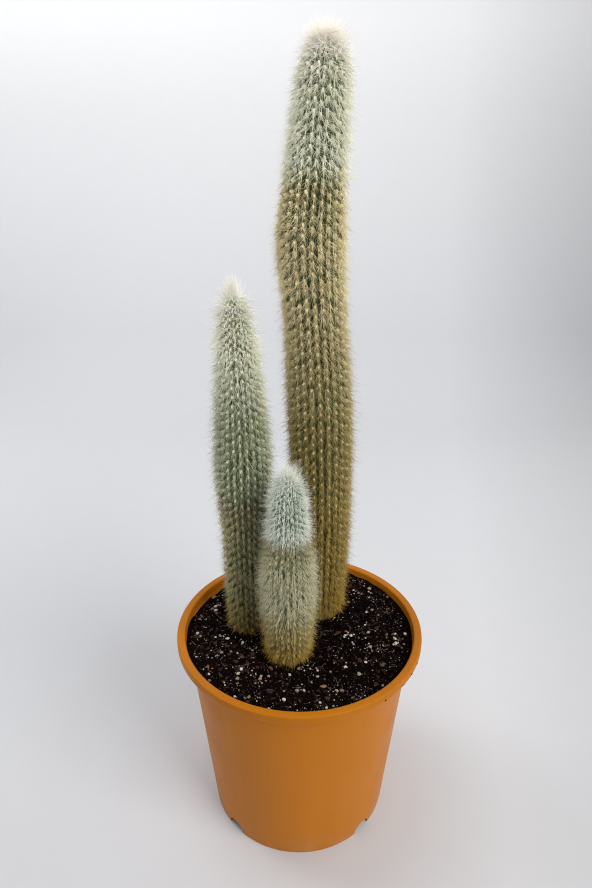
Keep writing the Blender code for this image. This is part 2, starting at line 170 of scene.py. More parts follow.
CREAM = (0.97, 0.93, 0.84)
IVORY = (0.87, 0.85, 0.76)
SILVER = (0.93, 0.92, 0.75)
DULL_SILVER = (0.49, 0.52, 0.35)
BROWN_GREY = (0.42, 0.36, 0.22)
OLIVE_STRAW = (0.54, 0.49, 0.28)
WARM_FELT = (0.78, 0.72, 0.52)
STRAW = (0.88, 0.77, 0.46)
OLD_STRAW = (0.43, 0.34, 0.12)
OLD_GOLD = (0.42, 0.30, 0.07)
PALE_STRAW = (0.86, 0.75, 0.47)
GOLD_FELT = (0.72, 0.54, 0.21)
GOLDEN_BROWN = (0.42, 0.27, 0.03)
WHITE_HAIR = (0.80, 0.82, 0.74)
PALE_MINT = (0.66, 0.75, 0.62)
GREY_BEIGE = (0.60, 0.565, 0.38)
DARK_BEIGE = (0.43, 0.385, 0.21)

LEAF_GREEN = (0.105, 0.15, 0.035)
FRESH_GREEN = (0.20, 0.28, 0.09)
GREY_GREEN = (0.085, 0.14, 0.03)
MINT_GREEN = (0.10, 0.20, 0.095)
OLIVE_GREEN = (0.07, 0.095, 0.02)
# Painted shade in the grooves between the ribs.
GROOVE_SHADE = (0.012, 0.018, 0.008)
CORKY_BROWN = (0.08, 0.05, 0.02)
SPINE_BROWN = (0.16, 0.09, 0.05)
SPINE_TONES = ((0, SPINE_BROWN), (600, SPINE_BROWN))  # the same at every height

DEEP_TERRACOTTA = (0.485, 0.155, 0.005)
TERRACOTTA = (0.535, 0.180, 0.008)
# Painted highlight along the pot lip's lower edge.
HIGHLIGHT_ORANGE = (0.95, 0.60, 0.24)
DRY_DUST = (0.50, 0.33, 0.19)
BLACK_PEAT = (0.001, 0.0005, 0.0005)
DARK_PEAT = (0.008, 0.0035, 0.003)
GREY_BROWN = (0.14, 0.09, 0.065)

# The colours that each kind of grain is drawn from, as (share, colour) pairs.
PEAT_TONES = (
    (0.0, (0.0005, 0.0004, 0.0004)),
    (0.7, (0.006, 0.003, 0.002)),
    (1.0, (0.05, 0.028, 0.02)),
)
PERLITE_TONES = ((0.0, (0.20, 0.14, 0.09)), (0.5, (0.43, 0.35, 0.27)), (1.0, (0.74, 0.70, 0.63)))
BARK_TONES = ((0.0, (0.05, 0.022, 0.014)), (0.7, (0.13, 0.065, 0.04)), (1.0, (0.34, 0.21, 0.10)))
FIBRE_TONES = ((0, (0.08, 0.05, 0.035)), (1000, (0.38, 0.29, 0.22)))  # share in thousandths

STEMS = (
    Stem(
        name="tall",
        node="stem_tall",
        axis=((143, 15, 27), (230, 14.7, 27), (304, 12.7, 27), (357, 9.5, 27),
              (404, 6.2, 27), (448, 8.7, 27), (503, 13.2, 27)),
        outline=((143, 16.0), (166, 18.2), (200, 19.6), (300, 20.8), (357, 19.4), (405, 20.7),
                 (440, 18.0), (485, 14.8)),
        shoulder=485,
        top=508,
        pitches=((143, 6.3), (400, 6.0), (437, 5.7)),
        cover=((143, 1.3), (200, 1.1), (400, 1.1), (413, 1.1), (424, 0.65), (437, 0.5), (444, 0.95),
               (480, 0.95), (495, 0.85), (508, 0.6)),
        vigour=((143, 0.85), (250, 0.9), (330, 0.88), (430, 0.82), (445, 0.95), (508, 1.0)),
        root_spread=((143, 1.5), (430, 1.4), (445, 1.0)),
        bristle_tones=((143, GOLDEN_BROWN), (200, OLD_GOLD), (290, OLD_STRAW), (390, STRAW),
                       (434, STRAW), (446, SILVER), (485, SILVER), (503, CREAM)),
        wool_tones=((143, GOLDEN_BROWN), (235, GOLD_FELT), (340, PALE_STRAW), (432, PALE_STRAW),
                    (444, SILVER), (503, CREAM)),
        skin_tones=((143, CORKY_BROWN), (240, OLIVE_GREEN), (430, OLIVE_GREEN), (440, LEAF_GREEN),
                    (475, LEAF_GREEN), (500, FRESH_GREEN)),
        bristles=9,
        radials=20,
        parts=2,
        tuft_points=56,
        tuft_bristles=50,
        tuft_length=11.5,
        tuft_lift=0.15,
        tuft_fan=2.6,
        stray_length=14.0,
        long_spines=(150, 440, 0.3),
        seed=21,
    ),
    Stem(
        name="middle",
        node="stem_middle",
        axis=((143, -36, 7), (228, -36.4, 7), (286, -36.4, 7), (338, -37.4, 7), (377, -39, 7)),
        outline=((143, 12.6), (167, 15.1), (217, 15.7), (233, 16.7), (263, 18.3), (299, 16.1),
                 (345, 11.8)),
        shoulder=345,
        top=377,
        pitches=((143, 6.2), (226, 6.0), (300, 5.5)),
        cover=((143, 0.9), (180, 0.8), (236, 0.7), (246, 0.8), (270, 0.95), (330, 0.8), (350, 0.4),
               (377, 0.3)),
        vigour=((143, 0.8), (226, 0.85), (300, 0.95), (330, 1.0), (350, 1.15), (377, 1.2)),
        root_spread=((143, 1.15), (180, 1.0), (232, 1.0)),
        bristle_tones=((143, GOLDEN_BROWN), (160, OLD_STRAW), (185, OLIVE_STRAW), (234, OLIVE_STRAW),
                       (243, BROWN_GREY), (262, DULL_SILVER), (300, DULL_SILVER), (345, SILVER),
                       (377, IVORY)),
        wool_tones=((143, OLD_STRAW), (238, OLIVE_STRAW), (250, WARM_FELT), (300, WARM_FELT),
                    (330, SILVER)),
        skin_tones=((143, CORKY_BROWN), (180, OLIVE_GREEN), (240, OLIVE_GREEN), (250, GREY_GREEN),
                    (330, LEAF_GREEN), (365, FRESH_GREEN)),
        bristles=8,
        radials=15,
        parts=1,
        tuft_points=36,
        tuft_bristles=44,
        tuft_length=12.5,
        tuft_lift=0.3,
        tuft_fan=-0.3,
        stray_length=13.0,
        long_spines=(),
        seed=22,
    ),
    Stem(
        name="small",
        node="stem_small",
        axis=((143, -7, -24), (202, -7.1, -24), (276, -6.8, -24)),
        outline=((143, 12.5), (154, 15.1), (186, 17.5), (216, 16.5), (226, 14.3), (247, 12.5)),
        shoulder=247,
        top=276,
        pitches=((143, 5.4), (220, 5.0), (276, 4.6)),
        cover=((143, 0.9), (180, 0.7), (215, 0.7), (226, 0.5), (234, 0.5), (238, 1.0), (244, 0.45),
               (252, 0.28), (276, 0.28)),
        vigour=((143, 0.85), (175, 1.03), (228, 1.03), (238, 1.0), (250, 0.95), (276, 1.1)),
        root_spread=((143, 1.6), (232, 1.6), (240, 1.0)),
        bristle_tones=((151, GOLDEN_BROWN), (173, OLD_STRAW), (192, GREY_BEIGE), (218, GREY_BEIGE),
                       (228, DARK_BEIGE), (234, DARK_BEIGE), (238, WHITE_HAIR)),
        wool_tones=((143, OLD_STRAW), (165, GREY_BEIGE), (232, GREY_BEIGE), (236, PALE_MINT)),
        skin_tones=((143, CORKY_BROWN), (165, OLIVE_GREEN), (216, GREY_GREEN), (224, MINT_GREEN)),
        bristles=10,
        radials=19,
        parts=1,
        tuft_points=30,
        tuft_bristles=44,
        tuft_length=12.5,
        tuft_lift=0.3,
        tuft_fan=0.2,
        stray_length=8.5,
        long_spines=(),
        seed=23,
    ),
)


def value_at(points, height):
    """Reads a value at a height from straight lines through (height, value) points."""
    if height <= points[0][0]:
        return points[0][1]
    for (low, start), (high, end) in pairwise(points):
        if height <= high:
            return start + (end - start) * (height - low) / (high - low)
    return points[-1][1]


def smooth_at(points, height):
    """Reads a value at a height from a smooth curve through (height, value) points."""
    if height <= points[0][0]:
        return points[0][1]
    if height >= points[-1][0]:
        return points[-1][1]
    k = next(i for i in range(len(points) - 1) if height <= points[i + 1][0])

    def slope(i):
        before, after = points[max(i - 1, 0)], points[min(i + 1, len(points) - 1)]
        return (after[1] - before[1]) / (after[0] - before[0])

    (start, low), (end, high) = points[k], points[k + 1]
    span = end - start
    t = (height - start) / span
    return (
        (2 * t**3 - 3 * t**2 + 1) * low
        + (t**3 - 2 * t**2 + t) * span * slope(k)
        + (3 * t**2 - 2 * t**3) * high
        + (t**3 - t**2) * span * slope(k + 1)
    )


def clamped(value, least=0.0):
    return max(least, min(1.0, value))


def blend(low, high, share):
    """The value that lies at a share of the way from low to high."""
    return low + (high - low) * share


# Node trees


def named(sockets, name):
    return next(socket for socket in sockets if socket.enabled and socket.name == name)


class Field:
    """A node's output. A sum with it adds the node that works out the sum. A vector is written first."""

    def __init__(self, tree, socket):
        self.tree = tree
        self.socket = socket
        self.is_vector = socket.type == "VECTOR"

    def __add__(self, other):
        add = self.tree.vector if self.is_vector else self.tree.math
        return add("ADD", self, other)

    def __mul__(self, other):
        if not self.is_vector:
            return self.tree.math("MULTIPLY", self, other)
        inputs = {"Vector": self, "Scale": other}
        return self.tree.out("ShaderNodeVectorMath", "Vector", inputs, operation="SCALE")

    __radd__ = __add__
    __rmul__ = __mul__

    def __sub__(self, other):
        return self.tree.math("SUBTRACT", self, other)

    def __rsub__(self, other):
        return self.tree.math("SUBTRACT", other, self)

    def __truediv__(self, other):
        return self.tree.math("DIVIDE", self, other)


class Tree:
    """Builds a node tree. Wherever a node takes a value, it takes a field as well."""

    def __init__(self, tree):
        self.tree = tree

    def connect(self, socket, value):
        if isinstance(value, Field):
            self.tree.links.new(value.socket, socket)
        else:
            socket.default_value = value

    def add(self, kind, inputs=None, **settings):
        node = self.tree.nodes.new(kind)
        for name, value in settings.items():
            setattr(node, name, value)
        for name, value in (inputs or {}).items():
            self.connect(named(node.inputs, name), value)
        return node

    def output(self, node, name):
        return Field(self, named(node.outputs, name))

    def out(self, kind, output, inputs=None, **settings):
        return self.output(self.add(kind, inputs, **settings), output)

    def worked_out(self, kind, operation, values):
        node = self.add(kind, operation=operation)
        for socket, value in zip(node.inputs, values):
            self.connect(socket, value)
        return Field(self, node.outputs[0])

    def math(self, operation, *values):
        return self.worked_out("ShaderNodeMath", operation, values)

    def vector(self, operation, *values):
        return self.worked_out("ShaderNodeVectorMath", operation, values)

    def combined(self, x, y, z):
        return self.out("ShaderNodeCombineXYZ", "Vector", {"X": x, "Y": y, "Z": z})


class GrowthTree(Tree):
    """A Geometry Nodes tree with named inputs, which grows things from a mesh."""

    def __init__(self, name, counts, measures):
        super().__init__(bpy.data.node_groups.new(name, "GeometryNodeTree"))
        kinds = {"Geometry": "Geometry", "Material": "Material"}
        kinds.update(dict.fromkeys(counts, "Int"))
        kinds.update(dict.fromkeys(measures, "Float"))
        interface = self.tree.interface
        for label, kind in kinds.items():
            interface.new_socket(label, in_out="INPUT", socket_type=f"NodeSocket{kind}")
        interface.new_socket("Geometry", in_out="OUTPUT", socket_type="NodeSocketGeometry")
        given = self.add("NodeGroupInput")
        self.inputs = {label: self.output(given, label) for label in kinds}
        self.draws = 0

    def attribute(self, name, kind="FLOAT"):
        return self.out("GeometryNodeInputNamedAttribute", "Attribute", {"Name": name}, data_type=kind)

    def position(self):
        return self.out("GeometryNodeInputPosition", "Position")

    def random(self, low, high, number=None):
        """A random number for each element, or for all that share a number, from a fixed seed."""
        self.draws += 1
        inputs = {"Min": low, "Max": high, "Seed": self.inputs["Seed"] + float(self.draws)}
        if number is not None:
            inputs["ID"] = number
        return self.out("FunctionNodeRandomValue", "Value", inputs, data_type="FLOAT")

    def tinted(self, geometry, tint):
        """Keeps a number on each point that its colour is chosen by."""
        inputs = {"Geometry": geometry, "Name": "tint", "Value": tint}
        return self.out("GeometryNodeStoreNamedAttribute", "Geometry", inputs, data_type="FLOAT")

    def moved(self, geometry, offset):
        inputs = {"Geometry": geometry, "Offset": offset}
        return self.out("GeometryNodeSetPosition", "Geometry", inputs)

    def aligned(self, vector, axis="Z", pivot_axis="AUTO", rotation=(0.0, 0.0, 0.0)):
        """Turns a rotation on until an axis points along a vector."""
        inputs = {"Rotation": rotation, "Vector": vector}
        kind = "FunctionNodeAlignRotationToVector"
        return self.out(kind, "Rotation", inputs, axis=axis, pivot_axis=pivot_axis)

    def placed(self, points, shape, rotation, scale, choice=None):
        """Sets a shape on each point, or one of several, where a choice is given."""
        inputs = {"Points": points, "Instance": shape, "Rotation": rotation, "Scale": scale}
        if choice is not None:
            inputs.update({"Pick Instance": True, "Instance Index": choice})
        return self.out("GeometryNodeInstanceOnPoints", "Instances", inputs)

    def finish(self, geometry):
        """Ends the tree: real faces only, in the material that the tree is given."""
        real = self.out("GeometryNodeRealizeInstances", "Geometry", {"Geometry": geometry})
        inputs = {"Geometry": real, "Material": self.inputs["Material"]}
        dressed = self.out("GeometryNodeSetMaterial", "Geometry", inputs)
        self.connect(self.add("NodeGroupOutput").inputs["Geometry"], dressed)
        return self.tree


def grow(name, seedbed, tree, values):
    """Runs a growth tree on a mesh, and keeps the result as a plain mesh in an object of its own."""
    piece = add_object(name, seedbed)
    growth = piece.modifiers.new("growth", "NODES")
    growth.node_group = tree
    for socket in tree.interface.items_tree:
        if socket.in_out == "INPUT" and socket.name in values:
            growth[socket.identifier] = values[socket.name]
    graph = bpy.context.evaluated_depsgraph_get()
    grown = bpy.data.meshes.new_from_object(piece.evaluated_get(graph))
    grown.name = name
    piece.modifiers.remove(growth)
    piece.data = grown
    bpy.data.meshes.remove(seedbed)
    return piece


def store(mesh, name, values, kind="FLOAT"):
    """Gives each vertex of a mesh a named number or vector."""
    attribute = mesh.attributes.new(name, kind, "POINT")
    if kind == "FLOAT":
        attribute.data.foreach_set("value", values)
    else:
        attribute.data.foreach_set("vector", [number for vector in values for number in vector])


def ribs_tree():
    """Sinks the grooves between the ribs, and swells each rib under its areoles."""
    tree = GrowthTree("ribs", counts=(), measures=("Rib depth", "Tubercle height"))
    groove = tree.attribute("groove")
    swell = tree.math("COSINE", tree.attribute("areole_turn") * math.tau)
    raised = swell * (1.0 - groove) * tree.inputs["Tubercle height"]
    sunk = groove * tree.inputs["Rib depth"]
    depth = (raised - sunk) * tree.attribute("relief")
    offset = tree.attribute("outward", "FLOAT_VECTOR") * depth
    return tree.finish(tree.moved(tree.inputs["Geometry"], offset))


def bristles_tree():
    """Grows a bunch of thin needles from each point, fanned out round the point's outward direction."""
    counts = ("Bristles", "Seed")
    measures = (
        "Length", "Shortest", "Thickness", "Least lean", "Most lean", "Droop", "Hairs in a lock",
        "Looseness", "Pad width", "Pad height", "Root depth",
    )
    tree = GrowthTree("bristles", counts, measures)
    given = tree.inputs
    amount = tree.math("ROUND", given["Bristles"] * tree.attribute("cover"))
    inputs = {"Geometry": given["Geometry"], "Amount": amount}
    bunch = tree.add("GeometryNodeDuplicateElements", inputs, domain="POINT")
    place_in_bunch = tree.output(bunch, "Duplicate Index") / given["Hairs in a lock"]
    lock = tree.attribute("number") * MOST_LOCKS + tree.math("FLOOR", place_in_bunch)
    outward = tree.attribute("outward", "FLOAT_VECTOR")
    upward = tree.attribute("upward", "FLOAT_VECTOR")
    sideways = tree.vector("CROSS_PRODUCT", upward, outward)

    lean = tree.random(given["Least lean"], given["Most lean"], lock)
    turn = tree.random(0.0, math.tau, lock)
    fan = sideways * tree.math("COSINE", turn) + upward * tree.math("SINE", turn)
    spread = outward * tree.math("COSINE", lean) + fan * tree.math("SINE", lean)
    lift = tree.attribute("lift")
    rise = tree.combined(0.0, 0.0, lift - given["Droop"] * (1.0 - lift))
    direction = tree.vector("NORMALIZE", spread * (1.0 - lift) + rise)
    stray = tree.combined(tree.random(-1.0, 1.0), tree.random(-1.0, 1.0), tree.random(-1.0, 1.0))
    direction = tree.vector("NORMALIZE", direction + stray * given["Looseness"])

    pad_size = tree.attribute("size") * tree.attribute("root_spread")
    across_pad = given["Pad width"] * pad_size * tree.random(-0.5, 0.5)
    along_pad = given["Pad height"] * pad_size * tree.random(-0.5, 0.5)
    root = sideways * across_pad + upward * along_pad + direction * (given["Root depth"] * -1.0)
    roots = tree.moved(tree.output(bunch, "Geometry"), root)
    roots = tree.tinted(roots, blend(tree.random(0.0, 1.0), tree.random(0.0, 1.0, lock), 0.6))
    vigour = tree.attribute("vigour")
    length = tree.random(given["Shortest"], 1.0) * given["Length"] * vigour
    thickness = tree.random(0.7, 1.2) * given["Thickness"] * vigour
    inputs = {"Vertices": 3, "Radius Top": 0.12, "Radius Bottom": 0.5, "Depth": 1.0}
    needle = tree.out("GeometryNodeMeshCone", "Mesh", inputs, fill_type="NONE")
    scale = tree.combined(thickness, thickness, length)
    return tree.finish(tree.placed(roots, needle, tree.aligned(direction), scale))


def pads_tree():
    """Sets a low woolly cushion on each areole."""
    tree = GrowthTree("areole_pads", counts=("Seed",), measures=("Width", "Height", "Proud"))
    given = tree.inputs
    ball = tree.out("GeometryNodeMeshUVSphere", "Mesh", {"Segments": 6, "Rings": 3, "Radius": 0.5})
    standing = tree.aligned(tree.attribute("outward", "FLOAT_VECTOR"))
    along_rib = tree.aligned(tree.attribute("upward", "FLOAT_VECTOR"), "Y", "Z", standing)
    size = tree.attribute("size") * tree.random(0.8, 1.15)
    shape = tree.combined(given["Width"], given["Height"], given["Proud"])
    return tree.finish(tree.placed(given["Geometry"], ball, along_rib, shape * size))


def rough_ball(tree, detail, number):
    """A ball with its surface pushed in and out, in one of several shapes."""
    ball = tree.out("GeometryNodeMeshIcoSphere", "Mesh", {"Radius": 1.0, "Subdivisions": detail})
    place = tree.position()
    inputs = {"Vector": place, "W": 7.0 * number, "Scale": 0.8, "Detail": 2.0}
    lumps = tree.out("ShaderNodeTexNoise", "Fac", inputs, noise_dimensions="4D")
    rough = tree.moved(ball, place * ((lumps - 0.5) * 1.6))
    return tree.out("GeometryNodeGeometryToInstance", "Instances", {"Geometry": rough})


def grains_tree():
    """Strews rough grains of three shapes over a surface, each turned and sized at random."""
    counts = ("Detail", "Seed")
    measures = (
        "Per square metre", "Clustering", "Smallest", "Largest", "Flatness", "Stretch", "Raised",
    )
    tree = GrowthTree("grains", counts, measures)
    given = tree.inputs
    inputs = {"Vector": tree.position(), "Scale": PATCHES_PER_METRE, "Detail": 2.0}
    clouds = tree.out("ShaderNodeTexNoise", "Fac", inputs)
    patches = tree.math("MINIMUM", tree.math("POWER", clouds * 1.9, 7.0), FULLEST_PATCH)
    density = given["Per square metre"] * blend(1.0, patches, given["Clustering"])
    inputs = {"Mesh": given["Geometry"], "Density": density, "Seed": given["Seed"]}
    points = tree.out("GeometryNodeDistributePointsOnFaces", "Points", inputs)

    shapes = tree.add("GeometryNodeJoinGeometry")
    for number in range(3):
        tree.connect(shapes.inputs["Geometry"], rough_ball(tree, given["Detail"], number))
    mostly_small = tree.math("POWER", tree.random(0.0, 1.0), 3.0)
    size = blend(given["Smallest"], given["Largest"], mostly_small)
    shape = tree.combined(given["Stretch"], 1.0, given["Flatness"])
    points = tree.tinted(points, tree.random(0.0, 1.0))
    points = tree.moved(points, tree.combined(0.0, 0.0, size * given["Raised"]))
    turned = tree.combined(
        tree.random(-0.5, 0.5), tree.random(-0.5, 0.5), tree.random(0.0, math.tau)
    )
    rotation = tree.out("FunctionNodeEulerToRotation", "Rotation", {"Euler": turned})
    choice = tree.math("FLOOR", tree.random(0.0, 2.99))
    grains = tree.output(shapes, "Geometry")
    return tree.finish(tree.placed(points, grains, rotation, shape * size, choice))


# Materials


class Finish(Tree):
    """A procedural material round one Principled shader, with patterns in object coordinates."""

    def __init__(self, name, specular, roughness=0.5):
        self.material = bpy.data.materials.new(name)
        self.material.use_nodes = True
        super().__init__(self.material.node_tree)
        self.shader = self.tree.nodes["Principled BSDF"]
        self.shader.inputs["Specular IOR Level"].default_value = specular
        self.shader.inputs["Roughness"].default_value = roughness
        self.place = self.out("ShaderNodeTexCoord", "Object")

    def noise(self, scale, detail=3.0, roughness=0.5, place=None):
        inputs = {
            "Vector": place or self.place,
            "Scale": scale,
            "Detail": detail,
            "Roughness": roughness,
        }
        return self.out("ShaderNodeTexNoise", "Fac", inputs)

    def attribute(self, name):
        return self.out("ShaderNodeAttribute", "Fac", attribute_name=name, attribute_type="GEOMETRY")

    def coordinate(self, axis):
        return self.out("ShaderNodeSeparateXYZ", axis, {"Vector": self.place})

    def stretched(self, *scale):
        return self.out("ShaderNodeMapping", "Vector", {"Vector": self.place, "Scale": scale})

    def radius(self):
        """The distance from Z."""
        inputs = {"Vector": self.stretched(1.0, 1.0, 0.0)}
        return self.out("ShaderNodeVectorMath", "Value", inputs, operation="LENGTH")

    def ranged(self, value, from_low, from_high, low=0.0, high=1.0):
        inputs = {
            "Value": value,
            "From Min": from_low,
            "From Max": from_high,
            "To Min": low,
            "To Max": high,
        }
        return self.out("ShaderNodeMapRange", "Result", inputs)

    def between(self, low, high, noise):
        """Spreads a noise, which mostly lies between 0.3 and 0.7, from low to high."""
        return self.ranged(noise, 0.3, 0.7, low, high)

    def mixed(self, first, second, share):
        node = self.add("ShaderNodeMix", data_type="RGBA")
        for index, value in ((0, share), (6, opaque(first)), (7, opaque(second))):
            self.connect(node.inputs[index], value)
        return Field(self, node.outputs[2])

    def toned(self, value, tones):
        """Colours that change along a value, from (value, colour) pairs."""
        low, high = tones[0][0], tones[-1][0]
        node = self.add("ShaderNodeValToRGB", {"Fac": self.ranged(value, low, high)})
        stops = node.color_ramp.elements
        while len(stops) < len(tones):
            stops.new(0.5)
        for stop, (at, colour) in zip(stops, tones):
            stop.position = (at - low) / (high - low)
            stop.color = opaque(colour)
        return self.output(node, "Color")

    def lightened(self, colour, value):
        inputs = {"Color": colour, "Value": value}
        return self.out("ShaderNodeHueSaturation", "Color", inputs)

    def bump(self, height, strength, distance):
        inputs = {"Height": height, "Strength": strength, "Distance": distance}
        self.set("Normal", self.out("ShaderNodeBump", "Normal", inputs))

    def set(self, label, value):
        self.connect(self.shader.inputs[label], value)


def opaque(colour):
    return colour if isinstance(colour, Field) else (*colour, 1.0)


def terracotta_plastic():
    """Satin moulded plastic: a little uneven in colour and gloss, with painted shade towards the rim,
    dusty at its foot, and a painted highlight along its lip's lower edge.
    """
    finish = Finish("terracotta_plastic", specular=0.10)
    height = finish.coordinate("Z")
    colour = finish.mixed(DEEP_TERRACOTTA, TERRACOTTA, finish.noise(9.0, 4.0))
    streaks = finish.noise(1.0, 3.0, place=finish.stretched(60.0, 60.0, 4.0))
    colour = finish.lightened(colour, finish.between(0.96, 1.04, streaks))
    # Painted shade: the colour darkens towards the rim, to hold back the light that the upward-facing
    # rim takes from above.
    colour = finish.lightened(colour, finish.ranged(height, 136 * MM, 147 * MM, 1.0, 0.92))
    low_down = finish.ranged(height, 22 * MM, 2 * MM, 0.0, 0.35)
    dust = low_down * finish.ranged(finish.noise(55.0, 6.0, 0.65), 0.45, 0.75)
    colour = finish.mixed(colour, DRY_DUST, dust)
    # Painted highlight: a thin broken lighter line along the lip's lower edge, where its rounded edge
    # catches the light.
    from_edge = finish.math("ABSOLUTE", height - LIP_EDGE_HEIGHT)
    at_edge = finish.ranged(from_edge, 0.2 * MM, 0.7 * MM, 0.9, 0.0)
    outside = finish.ranged(finish.radius(), RIM_RADIUS - 3 * MM, RIM_RADIUS - 2 * MM)
    painted_highlight = at_edge * outside * finish.ranged(finish.noise(40.0, 3.0), 0.44, 0.54)
    finish.set("Base Color", finish.mixed(colour, HIGHLIGHT_ORANGE, painted_highlight))
    finish.set("Roughness", finish.between(0.34, 0.46, finish.noise(30.0, 5.0)))
    finish.bump(finish.noise(1400.0, 2.0), 0.08, 0.1 * MM)
    return finish.material


def dark_mix():
    """Moist peat: nearly black, with small red-brown and grey patches."""
    finish = Finish("dark_potting_mix", specular=0.01)
    colour = finish.mixed(BLACK_PEAT, DARK_PEAT, finish.noise(260.0, 5.0, 0.7))
    specks = finish.ranged(finish.noise(900.0, 3.0), 0.66, 0.74)
    finish.set("Base Color", finish.mixed(colour, GREY_BROWN, specks))
    finish.set("Roughness", finish.between(0.75, 0.98, finish.noise(400.0)))
    finish.bump(finish.noise(1500.0, 6.0, 0.7), 0.6, 0.4 * MM)
    return finish.material


def grain_finish(name, tones, roughness):
    """Loose grains, each a colour of its own from the range of tones, with a porous surface."""
    finish = Finish(name, roughness=roughness, specular=0.05)
    pores = finish.noise(1300.0, 4.0, 0.65)
    colour = finish.toned(finish.attribute("tint"), tones)
    finish.set("Base Color", finish.lightened(colour, finish.between(0.75, 1.15, pores)))
    finish.bump(pores, 0.5, 0.25 * MM)
    return finish.material


def in_metres(tones):
    return tuple((height * MM, colour) for height, colour in tones)


def cactus_skin(stem):
    """Waxy green flesh, with painted shade in its grooves, corky towards the base and matted with fine
    hair.
    """
    finish = Finish(f"{stem.name}_skin", specular=0.35)
    height = finish.coordinate("Z")
    wander = (finish.noise(60.0) - 0.5) * (10 * MM)
    colour = finish.toned(height + wander, in_metres(stem.skin_tones))
    colour = finish.lightened(colour, finish.between(0.8, 1.25, finish.noise(350.0, 5.0, 0.6)))
    # Painted shade: the grooves between the ribs are mixed towards near-black.
    shadow = finish.attribute("groove") * finish.attribute("relief") * 0.6
    colour = finish.mixed(colour, GROOVE_SHADE, shadow)
    strands = finish.noise(1.0, 2.0, place=finish.stretched(900.0, 900.0, 160.0))
    matted = finish.ranged(strands, 0.50, 0.64, 0.0, 0.25)
    felt = finish.toned(height, in_metres(stem.bristle_tones))
    finish.set("Base Color", finish.mixed(colour, felt, matted))
    finish.set("Roughness", finish.between(0.5, 0.7, finish.noise(200.0)))
    finish.bump(finish.noise(900.0, 4.0), 0.35, 0.3 * MM)
    return finish.material


def hair_finish(name, tones, variation=(0.6, 1.3)):
    """Bristles whose colour follows the height of their areole, some lighter and some darker."""
    finish = Finish(name, roughness=0.55, specular=0.4)
    colour = finish.toned(finish.attribute("root_height"), in_metres(tones))
    lightness = finish.ranged(finish.attribute("tint"), 0.0, 1.0, *variation)
    finish.set("Base Color", finish.lightened(colour, lightness))
    return finish.material


def wool_finish(stem):
    """Short felt on the areoles, matted into lighter and darker tufts."""
    finish = Finish(f"{stem.name}_wool", roughness=0.9, specular=0.2)
    colour = finish.toned(finish.attribute("root_height"), in_metres(stem.wool_tones))
    tufts = finish.noise(1800.0, 3.0)
    finish.set("Base Color", finish.lightened(colour, finish.between(0.85, 1.2, tufts)))
    finish.bump(tufts, 0.7, 0.3 * MM)
    return finish.material


def backdrop_paper():
    """Pale paper with painted shade: darker and cooler on the floor than on the wall, and darker towards
    the right.
    """
    finish = Finish("backdrop_paper", roughness=0.85, specular=0.2)
    grain = finish.noise(40.0, 4.0)
    # Painted shade: the floor is given a darker colour than the wall, for the dimmer light that falls on
    # it.
    floor = finish.mixed((0.625, 0.63, 0.65), (0.645, 0.65, 0.67), grain)
    wall = finish.mixed((0.89, 0.89, 0.895), (0.91, 0.91, 0.915), grain)
    paper = finish.mixed(floor, wall, finish.ranged(finish.coordinate("Z"), 0.1, 0.7))
    # Painted shade: the paper darkens towards the right, where less light falls.
    half_width = finish.ranged(finish.coordinate("Y"), -0.6, 1.25, 0.15, 0.78)
    to_right = finish.coordinate("X") / half_width
    paper = finish.lightened(paper, finish.ranged(to_right, 0.45, 1.0, 1.0, 0.72))
    finish.set("Base Color", paper)
    return finish.material


# Shapes


def add_object(name, mesh):
    obj = bpy.data.objects.new(name, mesh)
    bpy.context.scene.collection.objects.link(obj)
    return obj


def to_mesh(shape, name):
    mesh = bpy.data.meshes.new(name)
    shape.to_mesh(mesh)
    shape.free()
    return mesh


def mesh_from(shape, name):
    """A mesh of a shape, with its faces turned outwards."""
    bmesh.ops.recalc_face_normals(shape, faces=shape.faces)
    return to_mesh(shape, name)


def spoke(angle):
    """The direction that points away from Z at an angle."""
    return Vector((math.cos(angle), math.sin(angle), 0.0))


def bridge(shape, first, second):
    """Joins two rings of vertices with faces."""
    for k in range(len(first)):
        shape.faces.new((first[k - 1], second[k - 1], second[k], first[k]))


def cap(shape, ring, middle):
    """Joins a ring of vertices to one in its middle."""
    for k in range(len(ring)):
        shape.faces.new((middle, ring[k - 1], ring[k]))


def cylinder_mesh(name, sides, bottom_radius, top_radius, depth):
    shape = bmesh.new()
    bmesh.ops.create_cone(
        shape, cap_ends=True, segments=sides, radius1=bottom_radius, radius2=top_radius, depth=depth
    )
    return mesh_from(shape, name)


def cut(obj, cutters):
    """Cuts closed shapes that stay apart out of an object, and removes them."""
    bpy.context.view_layer.update()
    joined = bmesh.new()
    for cutter in cutters:
        placed = cutter.data.copy()
        placed.transform(cutter.matrix_world)
        joined.from_mesh(placed)
        bpy.data.meshes.remove(placed)
    tool = add_object(f"{obj.name}_cutters", mesh_from(joined, f"{obj.name}_cutters"))
    boolean = obj.modifiers.new("cut", "BOOLEAN")
    boolean.operation = "DIFFERENCE"
    boolean.solver = "EXACT"
    boolean.object = tool
    graph = bpy.context.evaluated_depsgraph_get()
    result = bpy.data.meshes.new_from_object(obj.evaluated_get(graph))
    obj.modifiers.remove(boolean)
    whole = obj.data
    obj.data = result
    bpy.data.meshes.remove(whole)
    for used in (tool, *cutters):
        bpy.data.objects.remove(used, do_unlink=True)


def shade(obj, sharp_angle):
    obj.data.shade_smooth()
    obj.data.set_sharp_from_angle(angle=math.radians(sharp_angle))


def join_object(piece, node):
    """Lets a finished piece ride with the pot, in the place of a CAD node."""
    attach(piece, "root")
    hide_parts(node)


# The pot


def wall_radius(height):
    wall_top = LIP_EDGE_HEIGHT - BEAD_HEIGHT
    return FOOT_RADIUS + (WALL_TOP_RADIUS - FOOT_RADIUS) * height / wall_top


